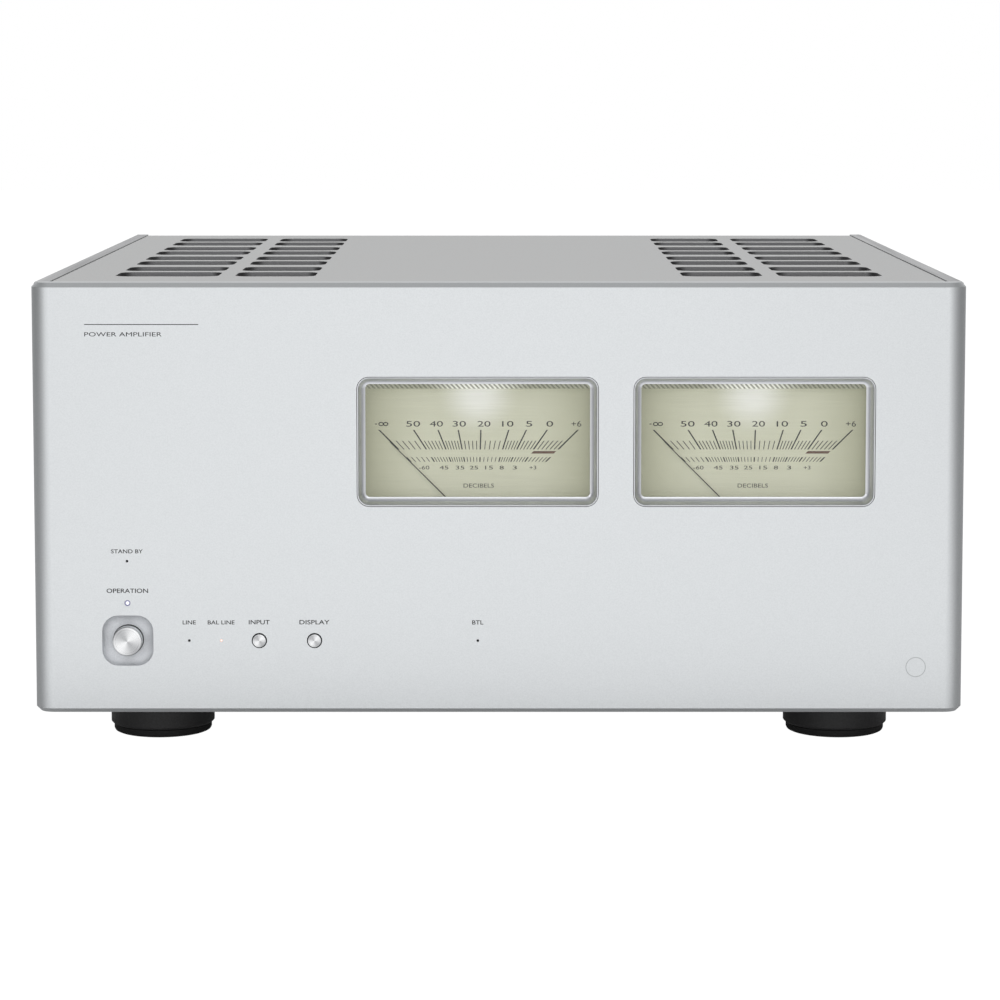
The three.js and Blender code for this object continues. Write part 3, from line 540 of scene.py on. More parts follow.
first_screw = settle(star_screw("rear_screw_0", 2.6, 1.9), FACING_BACK)
margin = 7 * MM
screw_shares = (-1, -0.36, 0.36, 1)
screw_places = []
for height in (rear_low.z + margin, rear_high.z - margin):
    for share in screw_shares:
        screw_places.append((share * (rear_high.x - margin), height))
for number, (x, z) in enumerate(screw_places):
    screw = copied(first_screw, f"rear_screw_{number + 1}", (x, rear_face + HEAD_GAP, z))
    ride_as(screw, screw_black)
bpy.data.objects.remove(first_screw)

# ---- Rear sockets ----
# Gold-plated line jacks with a coloured nylon ring, black balanced sockets with a latch,
# a slide switch for the bridged mode, and the mains inlet with its three blades.

gold = grained_finish("gold_plate", srgb(222, 182, 108), 0.24, 1.0, 1800, depth=0.006, spread=0.12)
black_plastic = grained_finish("black_plastic", srgb(30, 30, 31), 0.45, 0.0, 1800, depth=0.02,
                               spread=0.2)
blade_brass = grained_finish("blade_brass", srgb(205, 196, 170), 0.3, 1.0, 1500, depth=0.01)
latch_steel = grained_finish("latch_steel", srgb(190, 192, 194), 0.3, 1.0, 1500, (1, 1, 20),
                             depth=0.01)


def second_finish(piece, finish, is_there):
    """Gives the faces whose middle passes the test another finish."""
    piece.data.materials.append(finish)
    for face in piece.data.polygons:
        if is_there(face.center):
            face.material_index = len(piece.data.materials) - 1


def line_jack(side, ring_colour):
    """A gold barrel with a bore for the pin, in a nylon ring, on its threaded tail."""
    node = f"line_jack_{side}"
    low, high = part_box(node)
    middle = (low + high) / 2
    long = (high.y - low.y) / MM
    barrel, barrel_radius, ring_radius, ring_thick = long - 10, 4.2, 6.5, 2
    pin_radius, tail_radius, core, edge = 1.8, 5, 0.4, 0.4
    jack = turned(f"{node}_body", [
        (core, barrel), (pin_radius, barrel), (pin_radius, long - 0.3), (pin_radius + 0.3, long),
        (barrel_radius - edge, long), (barrel_radius, long - edge), (barrel_radius, barrel),
        (ring_radius - edge, barrel), (ring_radius, barrel - edge), (ring_radius, barrel - ring_thick),
        (tail_radius, barrel - ring_thick), (tail_radius, 0.5), (tail_radius - 0.5, 0), (core, 0),
    ], 48)
    settle(jack, FACING_BACK, (middle.x, low.y, middle.z))
    smoothed(jack)
    ride_as(jack, gold, stands_for=[node])
    nylon = grained_finish(f"jack_nylon_{side}", ring_colour, 0.4, 0.0, 1500, depth=0.01)

    def on_ring(point):
        across = math.hypot(point.x - middle.x, point.z - middle.z)
        return across > (barrel_radius + 0.1) * MM and point.y > rear_face

    second_finish(jack, nylon, on_ring)


def block(name, long, deep, tall):
    """A box round the origin. Its sides are in mm."""
    bpy.ops.mesh.primitive_cube_add(size=1, location=(0, 0, 0))
    piece = bpy.context.object
    piece.name = name
    piece.scale = (long * MM, deep * MM, tall * MM)
    return piece


# The latch's sides, how far it is set below the socket's top, its pad's margin and slope.
LATCH = (7, 1.6, 3)
LATCH_DROP = 2.8
LATCH_EDGE = 0.7
LATCH_SLOPE = (0, -0.5 * MM, -0.2 * MM)
SOCKET_SCREW = 2.4


def balanced_socket(side):
    """A moulded socket with a pressed latch at its top and a screw in two of its corners."""
    name = f"bal_socket_{side}"
    low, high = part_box(name)
    middle = (low + high) / 2
    machined(name, f"{name}_body", 0.25, black_plastic)
    latch_y = high.y + HEAD_GAP + LATCH[1] / 2 * MM
    latch = settle(block(f"{name}_latch", *LATCH), place=(middle.x, latch_y, high.z - LATCH_DROP * MM))
    pick(latch, "polygons", lambda face: face.normal.y > 0.9)
    bpy.ops.mesh.select_mode(type="FACE")
    bpy.ops.mesh.inset(thickness=LATCH_EDGE * MM, depth=0)
    bpy.ops.transform.translate(value=LATCH_SLOPE)
    bpy.ops.object.mode_set(mode="OBJECT")
    rounded_edges(latch, 0.25)
    ride_as(latch, latch_steel)
    reach = high - middle - Vector((1, 0, 1)) * SOCKET_SCREW * MM
    for number, (across, up) in enumerate(((-1, 1), (1, -1))):
        place = (middle.x + across * reach.x, high.y + HEAD_GAP, middle.z + up * reach.z)
        screw = settle(star_screw(f"{name}_screw_{number}", 1.5, 1.3), FACING_BACK, place)
        ride_as(screw, screw_black)


line_jack("left", srgb(225, 225, 222))
line_jack("right", srgb(168, 28, 30))
for side in ("left", "right"):
    balanced_socket(side)
machined("mode_switch", "mode_lever", 0.2, black_plastic, "mode_switch")

inlet_low, inlet_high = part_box("power_inlet")
inlet_middle = (inlet_low + inlet_high) / 2
inlet = machined("power_inlet", "mains_inlet", 0.2, black_plastic)
blade_room = Vector((8.3, 0, 4.5)) * MM
blade_foot = inlet_high.y - 17 * MM
blade_tip = inlet_high.y - 1 * MM
screw_inset = 5 * MM


def on_blade(point):
    """Is a point on one of the three blades, inside the inlet's mouth?"""
    inside = abs(point.x) < blade_room.x and abs(point.z - inlet_middle.z) < blade_room.z
    return inside and blade_foot < point.y < blade_tip


second_finish(inlet, blade_brass, on_blade)
for side, across in (("left", -1), ("right", 1)):
    screw_x = inlet_middle.x + across * (inlet_high.x - inlet_middle.x - screw_inset)
    screw = settle(star_screw(f"inlet_screw_{side}", 2.4, 1.6), FACING_BACK,
                   (screw_x, inlet_high.y + HEAD_GAP, inlet_middle.z))
    ride_as(screw, screw_black)

# ---- Loudspeaker terminals ----
# Two poles a channel on a moulded base. Each has a gold-plated clamp ring that opens for a
# bare wire or a spade, and a fluted gold-plated knob that screws it shut.

STUD_BORE = 3.4


def clamp_ring(node):
    """A thick washer on its stud."""
    low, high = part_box(node)
    middle = (low + high) / 2
    radius, thick = (high.x - low.x) / 2 / MM, (high.y - low.y) / MM
    ring = closed_disc(f"{node}_washer", 64, radius, 0)
    bpy.ops.object.mode_set(mode="EDIT")
    bpy.ops.mesh.select_all(action="SELECT")
    bpy.ops.mesh.inset(thickness=(radius - STUD_BORE) * MM, depth=0)
    bpy.ops.mesh.delete(type="FACE")
    bpy.ops.mesh.select_all(action="SELECT")
    bpy.ops.mesh.extrude_region_move(TRANSFORM_OT_translate={"value": (0, 0, thick * MM)})
    bpy.ops.mesh.select_all(action="SELECT")
    bpy.ops.mesh.normals_make_consistent(inside=False)
    bpy.ops.object.mode_set(mode="OBJECT")
    settle(ring, FACING_BACK, (middle.x, low.y, middle.z))
    rounded_edges(ring, 0.4, 3)
    ride_as(ring, gold, node, [node])


def terminal_knob(node):
    """A cap with a groove round it, flutes in its rim and a dimple in its end."""
    low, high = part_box(node)
    middle = (low + high) / 2
    radius, long = (high.x - low.x) / 2 / MM, (high.y - low.y) / MM
    core, bore_end, edge, groove, dimple = 0.4, long - 2.5, 1.0, radius - 1.1, 2.4
    flute_edge, flute_deep = 0.28, 0.35
    knob = turned(f"{node}_cap", [
        (core, bore_end), (STUD_BORE, bore_end), (STUD_BORE, 0), (radius - edge, 0), (radius, edge),
        (radius, long * 0.3), (groove, long * 0.34), (groove, long * 0.42), (radius, long * 0.46),
        (radius, long - 2.6), (radius - 1.6, long - 0.6), (radius - 2.4, long), (dimple, long),
        (dimple - 0.5, long - 0.6), (core, long - 0.6),
    ], 40)

    def on_rim(face):
        reach = math.hypot(face.center.x, face.center.y) / MM
        return reach > radius - 0.3 and abs(face.normal.z) < 0.1

    pick(knob, "polygons", on_rim)
    bpy.ops.mesh.select_mode(type="FACE")
    bpy.ops.mesh.inset(thickness=flute_edge * MM, depth=-flute_deep * MM, use_individual=True)
    bpy.ops.object.mode_set(mode="OBJECT")
    settle(knob, FACING_BACK, (middle.x, low.y, middle.z))
    smoothed(knob, 25)
    ride_as(knob, gold, node, [node])


for side in ("left", "right"):
    machined(f"speaker_base_{side}", f"speaker_base_{side}_moulding", 0.4, black_plastic)
    for pole in ("inner", "outer"):
        clamp_ring(f"clamp_ring_{side}_{pole}")
        terminal_knob(f"terminal_knob_{side}_{pole}")
for board in ("input_board", "control_board"):
    coat(board, board_green)

# ---- Side panels and top cover ----
# Thick aluminium plates. The sides are brushed along their length; the cover is blasted like
# the front, with its vent slots milled through and their edges broken.

side_silver = grained_finish("side_silver", srgb(184, 185, 187), 0.36, 1.0, 260, (1, 0.02, 8),
                             depth=0.01, spread=0.12)
panel_silver = grained_finish("panel_silver", srgb(226, 229, 231), 0.42, 1.0, 1500, depth=0.012,
                              spread=0.05)
cover_silver = grained_finish("cover_silver", srgb(205, 206, 206), 0.4, 1.0, 1400, depth=0.012,
                              spread=0.05)
for side in ("left", "right"):
    machined(f"side_panel_{side}", f"side_plate_{side}", 0.15, side_silver)
cover = machined("top_cover", "cover_plate", 0.5, cover_silver, segments=3)
# Every face of the cover below its top, the slot walls among them, takes a darker copy of its silver:
# painted shade in the slots.
slot_wall_painted_shade = grained_finish("slot_wall_painted_shade", srgb(150, 150, 152), 0.45, 1.0, 1400, depth=0.02, spread=0.1)
cover_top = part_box("top_cover")[1].z
second_finish(cover, slot_wall_painted_shade, lambda point: point.z < cover_top - 0.3 * MM)

# ---- Front panel ----
# A 12 mm aluminium plate, blasted and anodised silver, with rounded ends and small chamfers.
# It is milled out for the meters and the power button, and its legends are screen printed.

front_plate = machined("front_panel", "front_plate", 0.15, panel_silver)
dish_silver = grained_finish("dish_silver", srgb(238, 240, 243), 0.72, 1.0, 1500, depth=0.012,
                             spread=0.05)
power = middle_of("power_button")
DISH_HALF = 12.2 * MM
# How far round each button, and how deep behind the face, the bores' walls are painted black as shade,
# in mm.
BORE_SHADE_REACH = {"power_button": 8, "input_button": 4.4, "display_button": 4.4}
BORE_SHADE_START = 4


def in_dish(point):
    """Is a point on the dish round the power button?"""
    near = max(abs(point.x - power.x), abs(point.z - power.z)) < DISH_HALF
    return near and point.y > face_y + 0.01 * MM


second_finish(front_plate, dish_silver, in_dish)
bores = [(middle_of(node), reach * MM) for node, reach in BORE_SHADE_REACH.items()]


def in_shaded_bore(point):
    """Is a point deep in one of the buttons' bores, where the metal is painted black as shade?"""
    near = [math.hypot(point.x - bore.x, point.z - bore.z) < reach for bore, reach in bores]
    return any(near) and point.y > face_y + BORE_SHADE_START * MM


# The panel's metal deep in the bores round the buttons is painted black: painted shade in the bores.
second_finish(front_plate, black_plastic, in_shaded_bore)
# The ink's thickness, and the gap between it and the metal, in mm.
legend_ink = grained_finish("legend_ink", srgb(16, 17, 19), 0.7, 0.0, 2500, depth=0.002, spread=0.1)
INK = 0.02
INK_GAP = 0.01


def measured(piece):
    """Moves a flat piece's middle to the origin and gives its size."""
    corners = [vertex.co for vertex in piece.data.vertices]
    low = Vector([min(c[i] for c in corners) for i in range(3)])
    high = Vector([max(c[i] for c in corners) for i in range(3)])
    piece.data.transform(Matrix.Translation(-(low + high) / 2))
    return high - low


def printed_word(text, width, cap, x, y, z, turn=FACING_FRONT, weight=0.0):
    """One printed word with its middle at x, z. Width and cap height are in mm."""
    bpy.ops.object.text_add(location=(0, 0, 0))
    word = bpy.context.object
    word.data.body = text
    word.data.offset = weight
    word.data.extrude = 0.1
    word.data.resolution_u = 4
    bpy.ops.object.convert(target="MESH")
    word = bpy.context.object
    size = measured(word)
    word.scale = (width * MM / size.x, cap * MM / size.y, INK * MM / size.z)
    bpy.ops.object.transform_apply(location=True, rotation=True, scale=True)
    return settle(word, turn, (x, y, z))


def printed_shapes(name, outlines, y, turn=FACING_FRONT, place=(0, 0)):
    """Flat printed outlines, each a loop of x, z points in mm. A loop inside another is a hole."""
    curve = bpy.data.curves.new(name, "CURVE")
    curve.dimensions = "2D"
    curve.fill_mode = "BOTH"
    curve.extrude = INK / 2 * MM
    for outline in outlines:
        spline = curve.splines.new("POLY")
        spline.points.add(len(outline) - 1)
        for point, (x, z) in zip(spline.points, outline):
            point.co = (x * MM, z * MM, 0, 1)
        spline.use_cyclic_u = True
    shapes = bpy.data.objects.new(name, curve)
    bpy.context.scene.collection.objects.link(shapes)
    solo(shapes)
    bpy.ops.object.convert(target="MESH")
    return settle(bpy.context.object, turn, (place[0], y, place[1]))


def oval(x, z, wide, high, count=24):
    """A closed outline round x, z. Wide and high are its half axes."""
    steps = [math.tau * i / count for i in range(count)]
    return [(x + wide * math.cos(a), z + high * math.sin(a)) for a in steps]


def joined(name, pieces):
    """Several pieces as one."""
    solo(pieces[0])
    for piece in pieces:
        piece.select_set(True)
    bpy.ops.object.join()
    whole = bpy.context.object
    whole.name = name
    return whole


legend_y = face_y - (INK_GAP + INK / 2) * MM
legends = []
# Each label's width and cap height, the part it stands over, and how far over it.
for text, width, cap, node, rise in (
    ("STAND BY", 15, 1.9, "standby_lens", 4.7), ("OPERATION", 19.6, 2.1, "operation_lens", 5.9),
    ("LINE", 6.2, 1.9, "line_lens", 8.7), ("BAL LINE", 12.7, 1.9, "bal_line_lens", 8.7),
    ("INPUT", 9.9, 2.1, "input_button", 8.8), ("DISPLAY", 14.2, 2.1, "display_button", 8.8),
    ("BTL", 5.3, 2.0, "btl_lens", 8.7),
):
    place = middle_of(node)
    legends.append(printed_word(text, width, cap, place.x, legend_y, place.z + rise * MM,
                                weight=0.01))
title_left, title_width = panel_low.x + 25.7 * MM, 36.3
title_height = panel_high.z - 24.1 * MM
legends.append(printed_word("POWER AMPLIFIER", title_width, 2.0,
                            title_left + title_width / 2 * MM, legend_y, title_height))
rule_length, rule_half, rule_rise = 53.5, 0.18, 4.6
rule = [(0, -rule_half), (rule_length, -rule_half), (rule_length, rule_half), (0, rule_half)]
legends.append(printed_shapes("title_rule", [rule], legend_y,
                              place=(title_left, title_height + rule_rise * MM)))
ride_as(joined("panel_legends", legends), legend_ink)

ring_ink = grained_finish("etched_ring", srgb(196, 199, 201), 0.5, 1.0, 2500, depth=0.002, spread=0.1)
ring_place = (panel_high.x - 22.7 * MM, panel_low.z + 21.9 * MM)
ring_loops = [oval(0, 0, radius, radius, 48) for radius in (4.8, 4.4)]
etched = printed_shapes("etched_mark", ring_loops, legend_y, place=ring_place)
ride_as(etched, ring_ink)

# ---- Meters ----
# Each has a milled aluminium bezel with a coved edge, a clear window, a brushed champagne dial
# with a printed decibel scale, a light guide along its top and a black needle on a pivot.

bezel_silver = grained_finish("bezel_silver", srgb(230, 232, 236), 0.34, 1.0, 1600, depth=0.008,
                              spread=0.05)
scale_ink = grained_finish("scale_ink", srgb(14, 13, 9), 0.6, 0.0, 2500, depth=0.002, spread=0.1)
bar_ink = grained_finish("bar_ink", srgb(112, 84, 68), 0.6, 0.0, 2500, depth=0.002, spread=0.1)
needle_black = grained_finish("needle_black", srgb(16, 15, 11), 0.4, 0.0, 2500, depth=0.002,
                              spread=0.1)


def window_acrylic():
    """Clear acrylic that lets shadow rays through, so that the dial behind it is lit."""
    finish, tree, shader = plain_finish("window_acrylic", (1, 1, 1, 1), 0.02, 0.0)
    shader.inputs["Transmission Weight"].default_value = 1.0
    shader.inputs["IOR"].default_value = 1.35
    clear = tree.nodes.new("ShaderNodeBsdfTransparent")
    path = tree.nodes.new("ShaderNodeLightPath")
    mixed_output(tree, (path, "Is Shadow Ray"), (shader, 0), (clear, 0))
    return finish


def offset_from(tree, axis, centre):
    """How far a point is from centre along one axis, in metres, on the piece's own coordinates."""
    place = tree.nodes.new("ShaderNodeTexCoord")
    parts = tree.nodes.new("ShaderNodeSeparateXYZ")
    wire(tree, (place, "Object"), (parts, 0))
    return math_of(tree, "SUBTRACT", (parts, axis), centre)


def length_of(tree, across, up):
    """The length of a line from its extent in two directions."""
    squares = [math_of(tree, "MULTIPLY", part, part) for part in (across, up)]
    return math_of(tree, "SQRT", math_of(tree, "ADD", *squares))


def blended(tree, mask, first, second):
    """Mixes two colours, each a colour or (node, socket), by a mask."""
    mix = tree.nodes.new("ShaderNodeMix")
    mix.data_type = "RGBA"
    wire(tree, mask, (mix, 0))
    for index, colour in ((6, first), (7, second)):
        if isinstance(colour[0], float):
            mix.inputs[index].default_value = colour
        else:
            wire(tree, colour, (mix, index))
    return mix, 2


# The dial's painted lamp light: how strongly the dial glows, how far below the window's top the
# painted pool of light lies, and its reach. Painted shade darkens the ends between the two distances
# from its middle.
DIAL_PAINTED_GLOW = 0.38
PAINTED_LAMP_DROP = 7
PAINTED_LAMP_REACH = (0.001, 0.021)
DIAL_PAINTED_END_SHADE = (0.022, 0.060)


def dial_finish(name, centre_x, painted_pool_z):
    """Brushed champagne dial, with a painted pool of lamp light at its top middle and painted shade
    towards its ends; it glows with these colours.
    """
    finish, tree, shader = plain_finish(name, srgb(200, 202, 180), 0.45, 0.0)
    shade = grain_node(tree, 1400, (0.03, 1, 1))
    across = offset_from(tree, 0, centre_x)
    down = offset_from(tree, 2, painted_pool_z)
    # Painted shade towards the ends, and a painted pool of lamp light near the top middle.
    ends = faded(tree, math_of(tree, "ABSOLUTE", across), *DIAL_PAINTED_END_SHADE)
    glow = faded(tree, length_of(tree, across, down), *PAINTED_LAMP_REACH)
    body = blended(tree, ends, srgb(160, 161, 136), srgb(189, 190, 169))
    lit = blended(tree, glow, body, srgb(222, 223, 216))
    streaks = math_of(tree, "MULTIPLY", ranged(tree, shade, 0, 1), 0.10)
    brushed = blended(tree, streaks, lit, srgb(120, 122, 96))
    wire(tree, brushed, (shader, "Base Color"))
    # The dial glows with its own painted colours, though it is no lamp.
    wire(tree, brushed, (shader, "Emission Color"))
    shader.inputs["Emission Strength"].default_value = DIAL_PAINTED_GLOW
    return finish


window_clear = window_acrylic()
PIVOT_BELOW_DIAL = 7.3
pivot = {}
for side in ("left", "right"):
    dial = f"meter_dial_{side}"
    dial_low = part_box(dial)[0]
    pivot[side] = Vector((middle_of(dial).x, dial_low.y, dial_low.z - PIVOT_BELOW_DIAL * MM))

# The scales in mm from the needle's pivot: how high the marks start and end, and their widths.
# The nine main marks are given by their slope, with so many small ones between each two, and
# each number by its place across and its width.
main_top, main_foot, minor_top, main_words = 47.2, 37.9, 42.0, 50.1
second_top, second_foot, second_words = 34.2, 32.0, 29.2
majors = (-0.993, -0.645, -0.400, -0.197, 0.030, 0.310, 0.488, 0.697, 1.006)
minor_counts = (4, 5, 5, 4, 4, 4, 4, 5)
main_labels = (("50", -30.7, 6.6), ("40", -19.7, 6.3), ("30", -8.8, 6.3), ("20", 2.9, 6.1),
               ("10", 14.2, 5.4), ("5", 24.3, 3.0), ("0", 34.1, 3.2), ("+6", 46.7, 4.8))
second_labels = (("-60", -25.5, 4.9), ("45", -16.1, 4.2), ("35", -8.5, 4.1), ("25", -1.9, 4.0),
                 ("15", 5.3, 3.7), ("8", 11.3, 2.0), ("3", 17.5, 2.0), ("+3", 26.1, 3.2))


def tick(slope, foot, top, width):
    """A slanted mark that points at the pivot, with level ends."""
    half = width / 2 * math.hypot(1, slope)
    return [(slope * foot - half, foot), (slope * foot + half, foot),
            (slope * top + half, top), (slope * top - half, top)]


def scale_print(side):
    """The two printed scales, their numbers and the unit, on the dial's face."""
    start = pivot[side]
    ink_y = start.y - (INK_GAP + INK / 2) * MM
    marks = []
    for slope in majors:
        marks.append(tick(slope, main_foot, main_top, 0.60))
        marks.append(tick(slope, second_foot, second_top, 0.55))
    for first, last, count in zip(majors, majors[1:], minor_counts):
        for i in range(1, count + 1):
            slope = first + (last - first) * i / (count + 1)
            marks.append(tick(slope, main_foot, minor_top, 0.36))
            marks.append(tick(slope, second_foot, second_top, 0.30))
    pieces = [printed_shapes("marks", marks, ink_y, place=(start.x, start.z))]
    for text, x, width in main_labels:
        pieces.append(printed_word(text, width, 2.65, start.x + x * MM, ink_y,
                                   start.z + main_words * MM))
    for text, x, width in second_labels:
        pieces.append(printed_word(text, width, 1.75, start.x + x * MM, ink_y,
                                   start.z + second_words * MM))
    pieces.append(printed_word("DECIBELS", 14.4, 1.9, start.x + 0.4 * MM, ink_y, start.z + 20.6 * MM))
    rings = []
    for x in (-45.9, -43.7):
        rings.append(oval(x, 50.0, 1.28, 0.98))
        rings.append(oval(x, 50.0, 0.80, 0.54))
    dash = [(-48.8, 49.8), (-47.8, 49.8), (-47.8, 50.2), (-48.8, 50.2)]
    pieces.append(printed_shapes("ring_left", rings[:2] + [dash], ink_y, place=(start.x, start.z)))
    pieces.append(printed_shapes("ring_right", rings[2:], ink_y, place=(start.x, start.z)))
    ride_as(joined(f"scale_print_{side}", pieces), scale_ink)
    bar = [(25.2, 35.9), (36.0, 35.9), (37.2, 37.1), (26.4, 37.1)]
    zone = printed_shapes(f"scale_bar_{side}", [bar], ink_y, place=(start.x, start.z))
    ride_as(zone, bar_ink)


# The dial's lines as a painted reflection in the guide, in slanting strokes: their pitch in radians
# per metre, their lean, and where the painted lamp light in its middle fades.
REFLECTED_LINE_PITCH = 2800
REFLECTED_LINE_LEAN = 0.9
GUIDE_PAINTED_LIGHT_REACH = (0.006, 0.026)


def guide_finish(name, centre_x):
    """Acrylic with a painted reflection of the dial's lines in slanting strokes and a painted pool of
    lamp light in its middle; it glows with these colours.
    """
    finish, tree, shader = plain_finish(name, srgb(150, 152, 132), 0.2, 0.0)
    across = offset_from(tree, 0, centre_x)
    height = offset_from(tree, 2, pivot["left"].z)
    # The dial's lines, painted on as a reflection.
    leaning = math_of(tree, "ADD", across, math_of(tree, "MULTIPLY", height, REFLECTED_LINE_LEAN))
    reflected_lines = math_of(tree, "SINE", math_of(tree, "MULTIPLY", leaning, REFLECTED_LINE_PITCH))
    reflection_mask = math_of(tree, "MULTIPLY_ADD", reflected_lines, 0.4, 0.45)
    # A painted pool of lamp light, lighter near the middle; the guide glows with these painted
    # colours.
    near = faded(tree, math_of(tree, "ABSOLUTE", across), *GUIDE_PAINTED_LIGHT_REACH)
    base = blended(tree, near, srgb(150, 152, 132), srgb(235, 236, 226))
    painted_guide_colour = blended(tree, reflection_mask, base, srgb(84, 86, 72))
    wire(tree, painted_guide_colour, (shader, "Base Color"))
    wire(tree, painted_guide_colour, (shader, "Emission Color"))
    shader.inputs["Emission Strength"].default_value = 0.55
    return finish


def light_guide(side):
    """A wedge along the top of the window, between the window and the needle."""
    low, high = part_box(f"meter_window_{side}")
    middle = (low + high) / 2
    long, deep, tall, gap, drop, foot_deep = 105.6, 2.4, 3.4, 0.4, 2.6, 0.8
    guide = settle(block(f"light_guide_{side}", long, deep, tall),
                   place=(middle.x, high.y + (gap + deep / 2) * MM, high.z - drop * MM))

    def at_foot(vertex):
        return vertex.co.y < high.y + (gap + deep / 2) * MM and vertex.co.z < high.z - drop * MM

    pick(guide, "vertices", at_foot)
    bpy.ops.transform.translate(value=(0, (deep - foot_deep) * MM, 0.2 * MM))
    bpy.ops.object.mode_set(mode="OBJECT")
    rounded_edges(guide, 0.12)
    ride_as(guide, guide_finish(f"guide_acrylic_{side}", middle.x))


for side in ("left", "right"):
    machined(f"meter_bezel_{side}", f"bezel_{side}", 0.12, bezel_silver)
    coat(f"meter_window_{side}", window_clear)
    coat(f"meter_housing_{side}", black_plastic)
    coat(f"meter_needle_{side}", needle_black)
    # The middle of the dial's painted pool of lamp light.
    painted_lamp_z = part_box(f"meter_window_{side}")[1].z - PAINTED_LAMP_DROP * MM
    coat(f"meter_dial_{side}", dial_finish(f"dial_{side}", pivot[side].x, painted_lamp_z))
    scale_print(side)
    light_guide(side)

# ---- Buttons ----
# Turned aluminium caps with a spun face of fine rings, a highlight painted across the face in two
# wedges, and a small bevel. Each slides through the panel on a plunger.

# The angle of the painted highlight's wedges, and the rings' pitch per metre.
PAINTED_FAN_ANGLE = math.radians(42)
RING_PITCH = 6000


def spun_rings_and_painted_fan():
    """Fine rings round a centre, and a mask by angle for the highlight painted in two wedges across a
    spun face.
    """
    group, given, result = new_group("spun_rings_and_painted_fan", (("Centre", "Vector"), ("Pitch", "Float")),
                                     ("Shade", "PaintedFan"))
    place = group.nodes.new("ShaderNodeTexCoord")
    away = group.nodes.new("ShaderNodeVectorMath")
    away.operation = "SUBTRACT"
    wire(group, (place, "Object"), (away, 0))
    wire(group, (given, "Centre"), (away, 1))
    parts = group.nodes.new("ShaderNodeSeparateXYZ")
    wire(group, (away, 0), (parts, 0))
    reach = length_of(group, (parts, 0), (parts, 2))
    rings = group.nodes.new("ShaderNodeTexNoise")
    rings.noise_dimensions = "1D"
    rings.inputs["Scale"].default_value = 1
    wire(group, math_of(group, "MULTIPLY", reach, (given, "Pitch")), (rings, "W"))
    wire(group, (rings, 0), (result, "Shade"))
    angle = math_of(group, "ARCTAN2", (parts, 2), (parts, 0))
    twice = math_of(group, "MULTIPLY", math_of(group, "SUBTRACT", angle, PAINTED_FAN_ANGLE), 2)
    painted_fan = math_of(group, "MULTIPLY_ADD", math_of(group, "COSINE", twice), 0.5, 0.5)
    wire(group, painted_fan, (result, "PaintedFan"))
    return group


rings_and_painted_fan_group = spun_rings_and_painted_fan()


def spun_finish(name, centre):
    """Spun aluminium, with rings round its centre and a painted highlight in two wedges across its
    face, with painted shade between them.
    """
    finish, tree, shader = plain_finish(name, srgb(240, 241, 242), 0.3, 1.0)
    rings = tree.nodes.new("ShaderNodeGroup")
    rings.node_tree = rings_and_painted_fan_group
    rings.inputs["Centre"].default_value = centre
    rings.inputs["Pitch"].default_value = RING_PITCH
    # The face is painted lighter in two wedges and darker between them: painted highlight and shade.
    bright = darkened(tree, srgb(252, 253, 254), (rings, "Shade"), 0.08)
    painted_fan_colour = blended(tree, (rings, "PaintedFan"), srgb(186, 187, 189), bright)
    wire(tree, painted_fan_colour, (shader, "Base Color"))
    wire(tree, ranged(tree, (rings, "Shade"), 0.24, 0.34), (shader, "Roughness"))
    return finish


# How far behind the panel's face the flanges stop, how thick they are and how far they stand
# out, and the plungers' radius, in mm.
FLANGE_DEPTH = 12.3
FLANGE_THICK = 1.5
FLANGE_RIM = 1.2
PLUNGER_RADIUS = 2


def button(node, radius, face_radius, groove):
    """A cap from its plunger and flange to its face, with a fine groove in the face."""
    low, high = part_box(node)
    middle = (low + high) / 2
    long = (high.y - low.y) / MM
    proud = (face_y - low.y) / MM
    bevel = radius - face_radius
    flange = proud + FLANGE_DEPTH
    flange_back = flange + FLANGE_THICK
    flange_radius = radius + FLANGE_RIM
    cap = turned(f"{node}_cap", [
        (PLUNGER_RADIUS, -long), (PLUNGER_RADIUS, -flange_back), (flange_radius, -flange_back),
        (flange_radius, -flange), (radius, -flange), (radius, -proud - 1), (radius, -bevel),
        (face_radius + 0.12, -0.05), (face_radius - 0.1, 0), (groove, 0), (groove - 0.05, -0.03),
        (groove - 0.1, 0), (0.3, 0),
    ], FINE_SIDES)
    settle(cap, FACING_FRONT, (middle.x, low.y, middle.z))
    smoothed(cap, 30)
    spun = spun_finish(f"{node}_spun", (middle.x, 0, middle.z))
    shank_and_shade_from = face_y + 1 * MM
    ride_as(cap, spun, node, [node])
    # Behind the face the cap is black: painted shade on its flank in the bore, and black plastic for
    # its flange and plunger behind the panel.
    second_finish(cap, black_plastic, lambda point: point.y > shank_and_shade_from)


button("power_button", 7, 6.45, 5.6)
button("input_button", 3.15, 2.85, 2.5)
button("display_button", 3.15, 2.85, 2.5)

# ---- Indicators ----
# Moulded light pipes with a domed tip just under the panel's face. The operation lamp is
# white in a violet ring, the balanced lamp is warm, and the others are unlit.


def lamp_finish(name, centre, core_radius, core, rim, power):
    """A glowing core that fades into its rim."""
    finish, tree, shader = plain_finish(name, rim, 0.15, 0.0)
    across = offset_from(tree, 0, centre.x)
    up = offset_from(tree, 2, centre.z)
    reach = length_of(tree, across, up)
    mask = faded(tree, reach, core_radius * 0.8 * MM, core_radius * 1.3 * MM)
    colour = blended(tree, mask, rim, core)
    wire(tree, colour, (shader, "Base Color"))
    wire(tree, colour, (shader, "Emission Color"))
    shader.inputs["Emission Strength"].default_value = power
    return finish


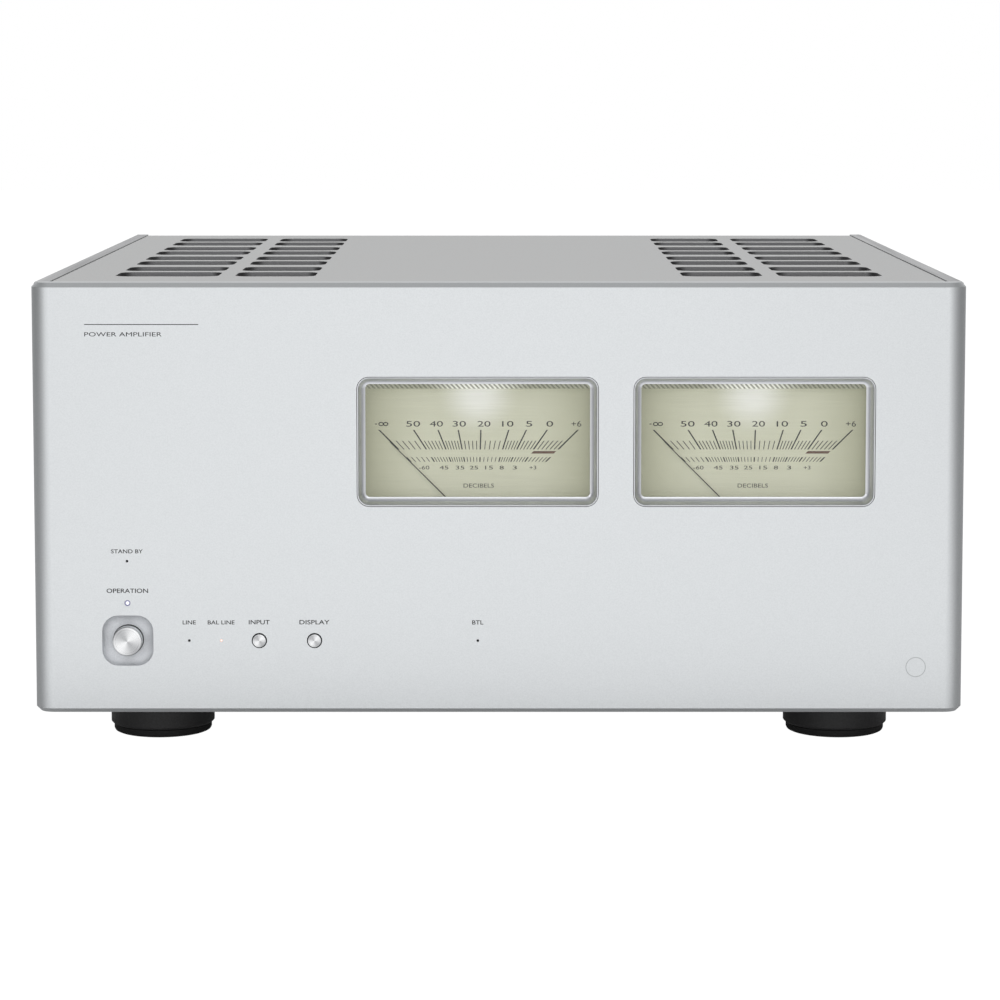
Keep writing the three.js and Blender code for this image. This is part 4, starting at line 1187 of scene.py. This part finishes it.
def indicator(name, tip, core_radius, core, rim, power):
    """A light pipe with a domed tip of the given radius, on a wider shank."""
    node = f"{name}_lens"
    low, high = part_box(node)
    middle = (low + high) / 2
    long = (high.y - low.y) / MM
    shank, shank_top = 2, -2.05
    pipe = turned(f"{name}_pipe", [
        (shank, -long), (shank, shank_top), (tip, shank_top), (tip, -0.25), (tip * 0.9, -0.12),
        (tip * 0.65, -0.03), (tip * 0.3, 0),
    ], 32)
    settle(pipe, FACING_FRONT, (middle.x, low.y, middle.z))
    smoothed(pipe, 50)
    finish = lamp_finish(f"{name}_lamp", middle, core_radius, core, rim, power)
    ride_as(pipe, finish, stands_for=[node])


dark_rim = srgb(14, 14, 15)
indicator("operation", 1.4, 0.75, srgb(250, 250, 255), srgb(120, 120, 150), 0.55)
indicator("bal_line", 0.5, 0.3, srgb(255, 244, 232), srgb(226, 190, 176), 0.8)
for name in ("standby", "line", "btl"):
    indicator(name, 0.5, 0.2, dark_rim, dark_rim, 0.0)

# ---- Rear legends ----
# Words screen-printed in black above the sockets, the switch and the terminals. They say what
# each is for.

rear_ink_y = rear_face + (INK_GAP + INK / 2) * MM
TURNED_ROUND = (math.pi / 2, 0, math.pi)
REAR_CAP = 3.3
REAR_WEIGHT = 0.012
rear_words = []
for text, width, node, rise in (
    ("L", 2.2, "line_jack_left", 11), ("R", 2.4, "line_jack_right", 11),
    ("BALANCED L", 32, "bal_socket_left", 21), ("BALANCED R", 32, "bal_socket_right", 21),
    ("BTL", 8, "mode_switch", 10), ("SPEAKER L", 27, "speaker_base_left", 27),
    ("SPEAKER R", 27, "speaker_base_right", 27), ("AC IN", 13, "power_inlet", 20),
):
    place = middle_of(node)
    rear_words.append(printed_word(text, width, REAR_CAP, place.x, rear_ink_y,
                                   place.z + rise * MM, TURNED_ROUND, REAR_WEIGHT))
line_z = middle_of("line_jack_left").z + 21 * MM
rear_words.append(printed_word("LINE", 11, REAR_CAP, 0, rear_ink_y, line_z, TURNED_ROUND,
                               REAR_WEIGHT))
ride_as(joined("rear_legends", rear_words), legend_ink)
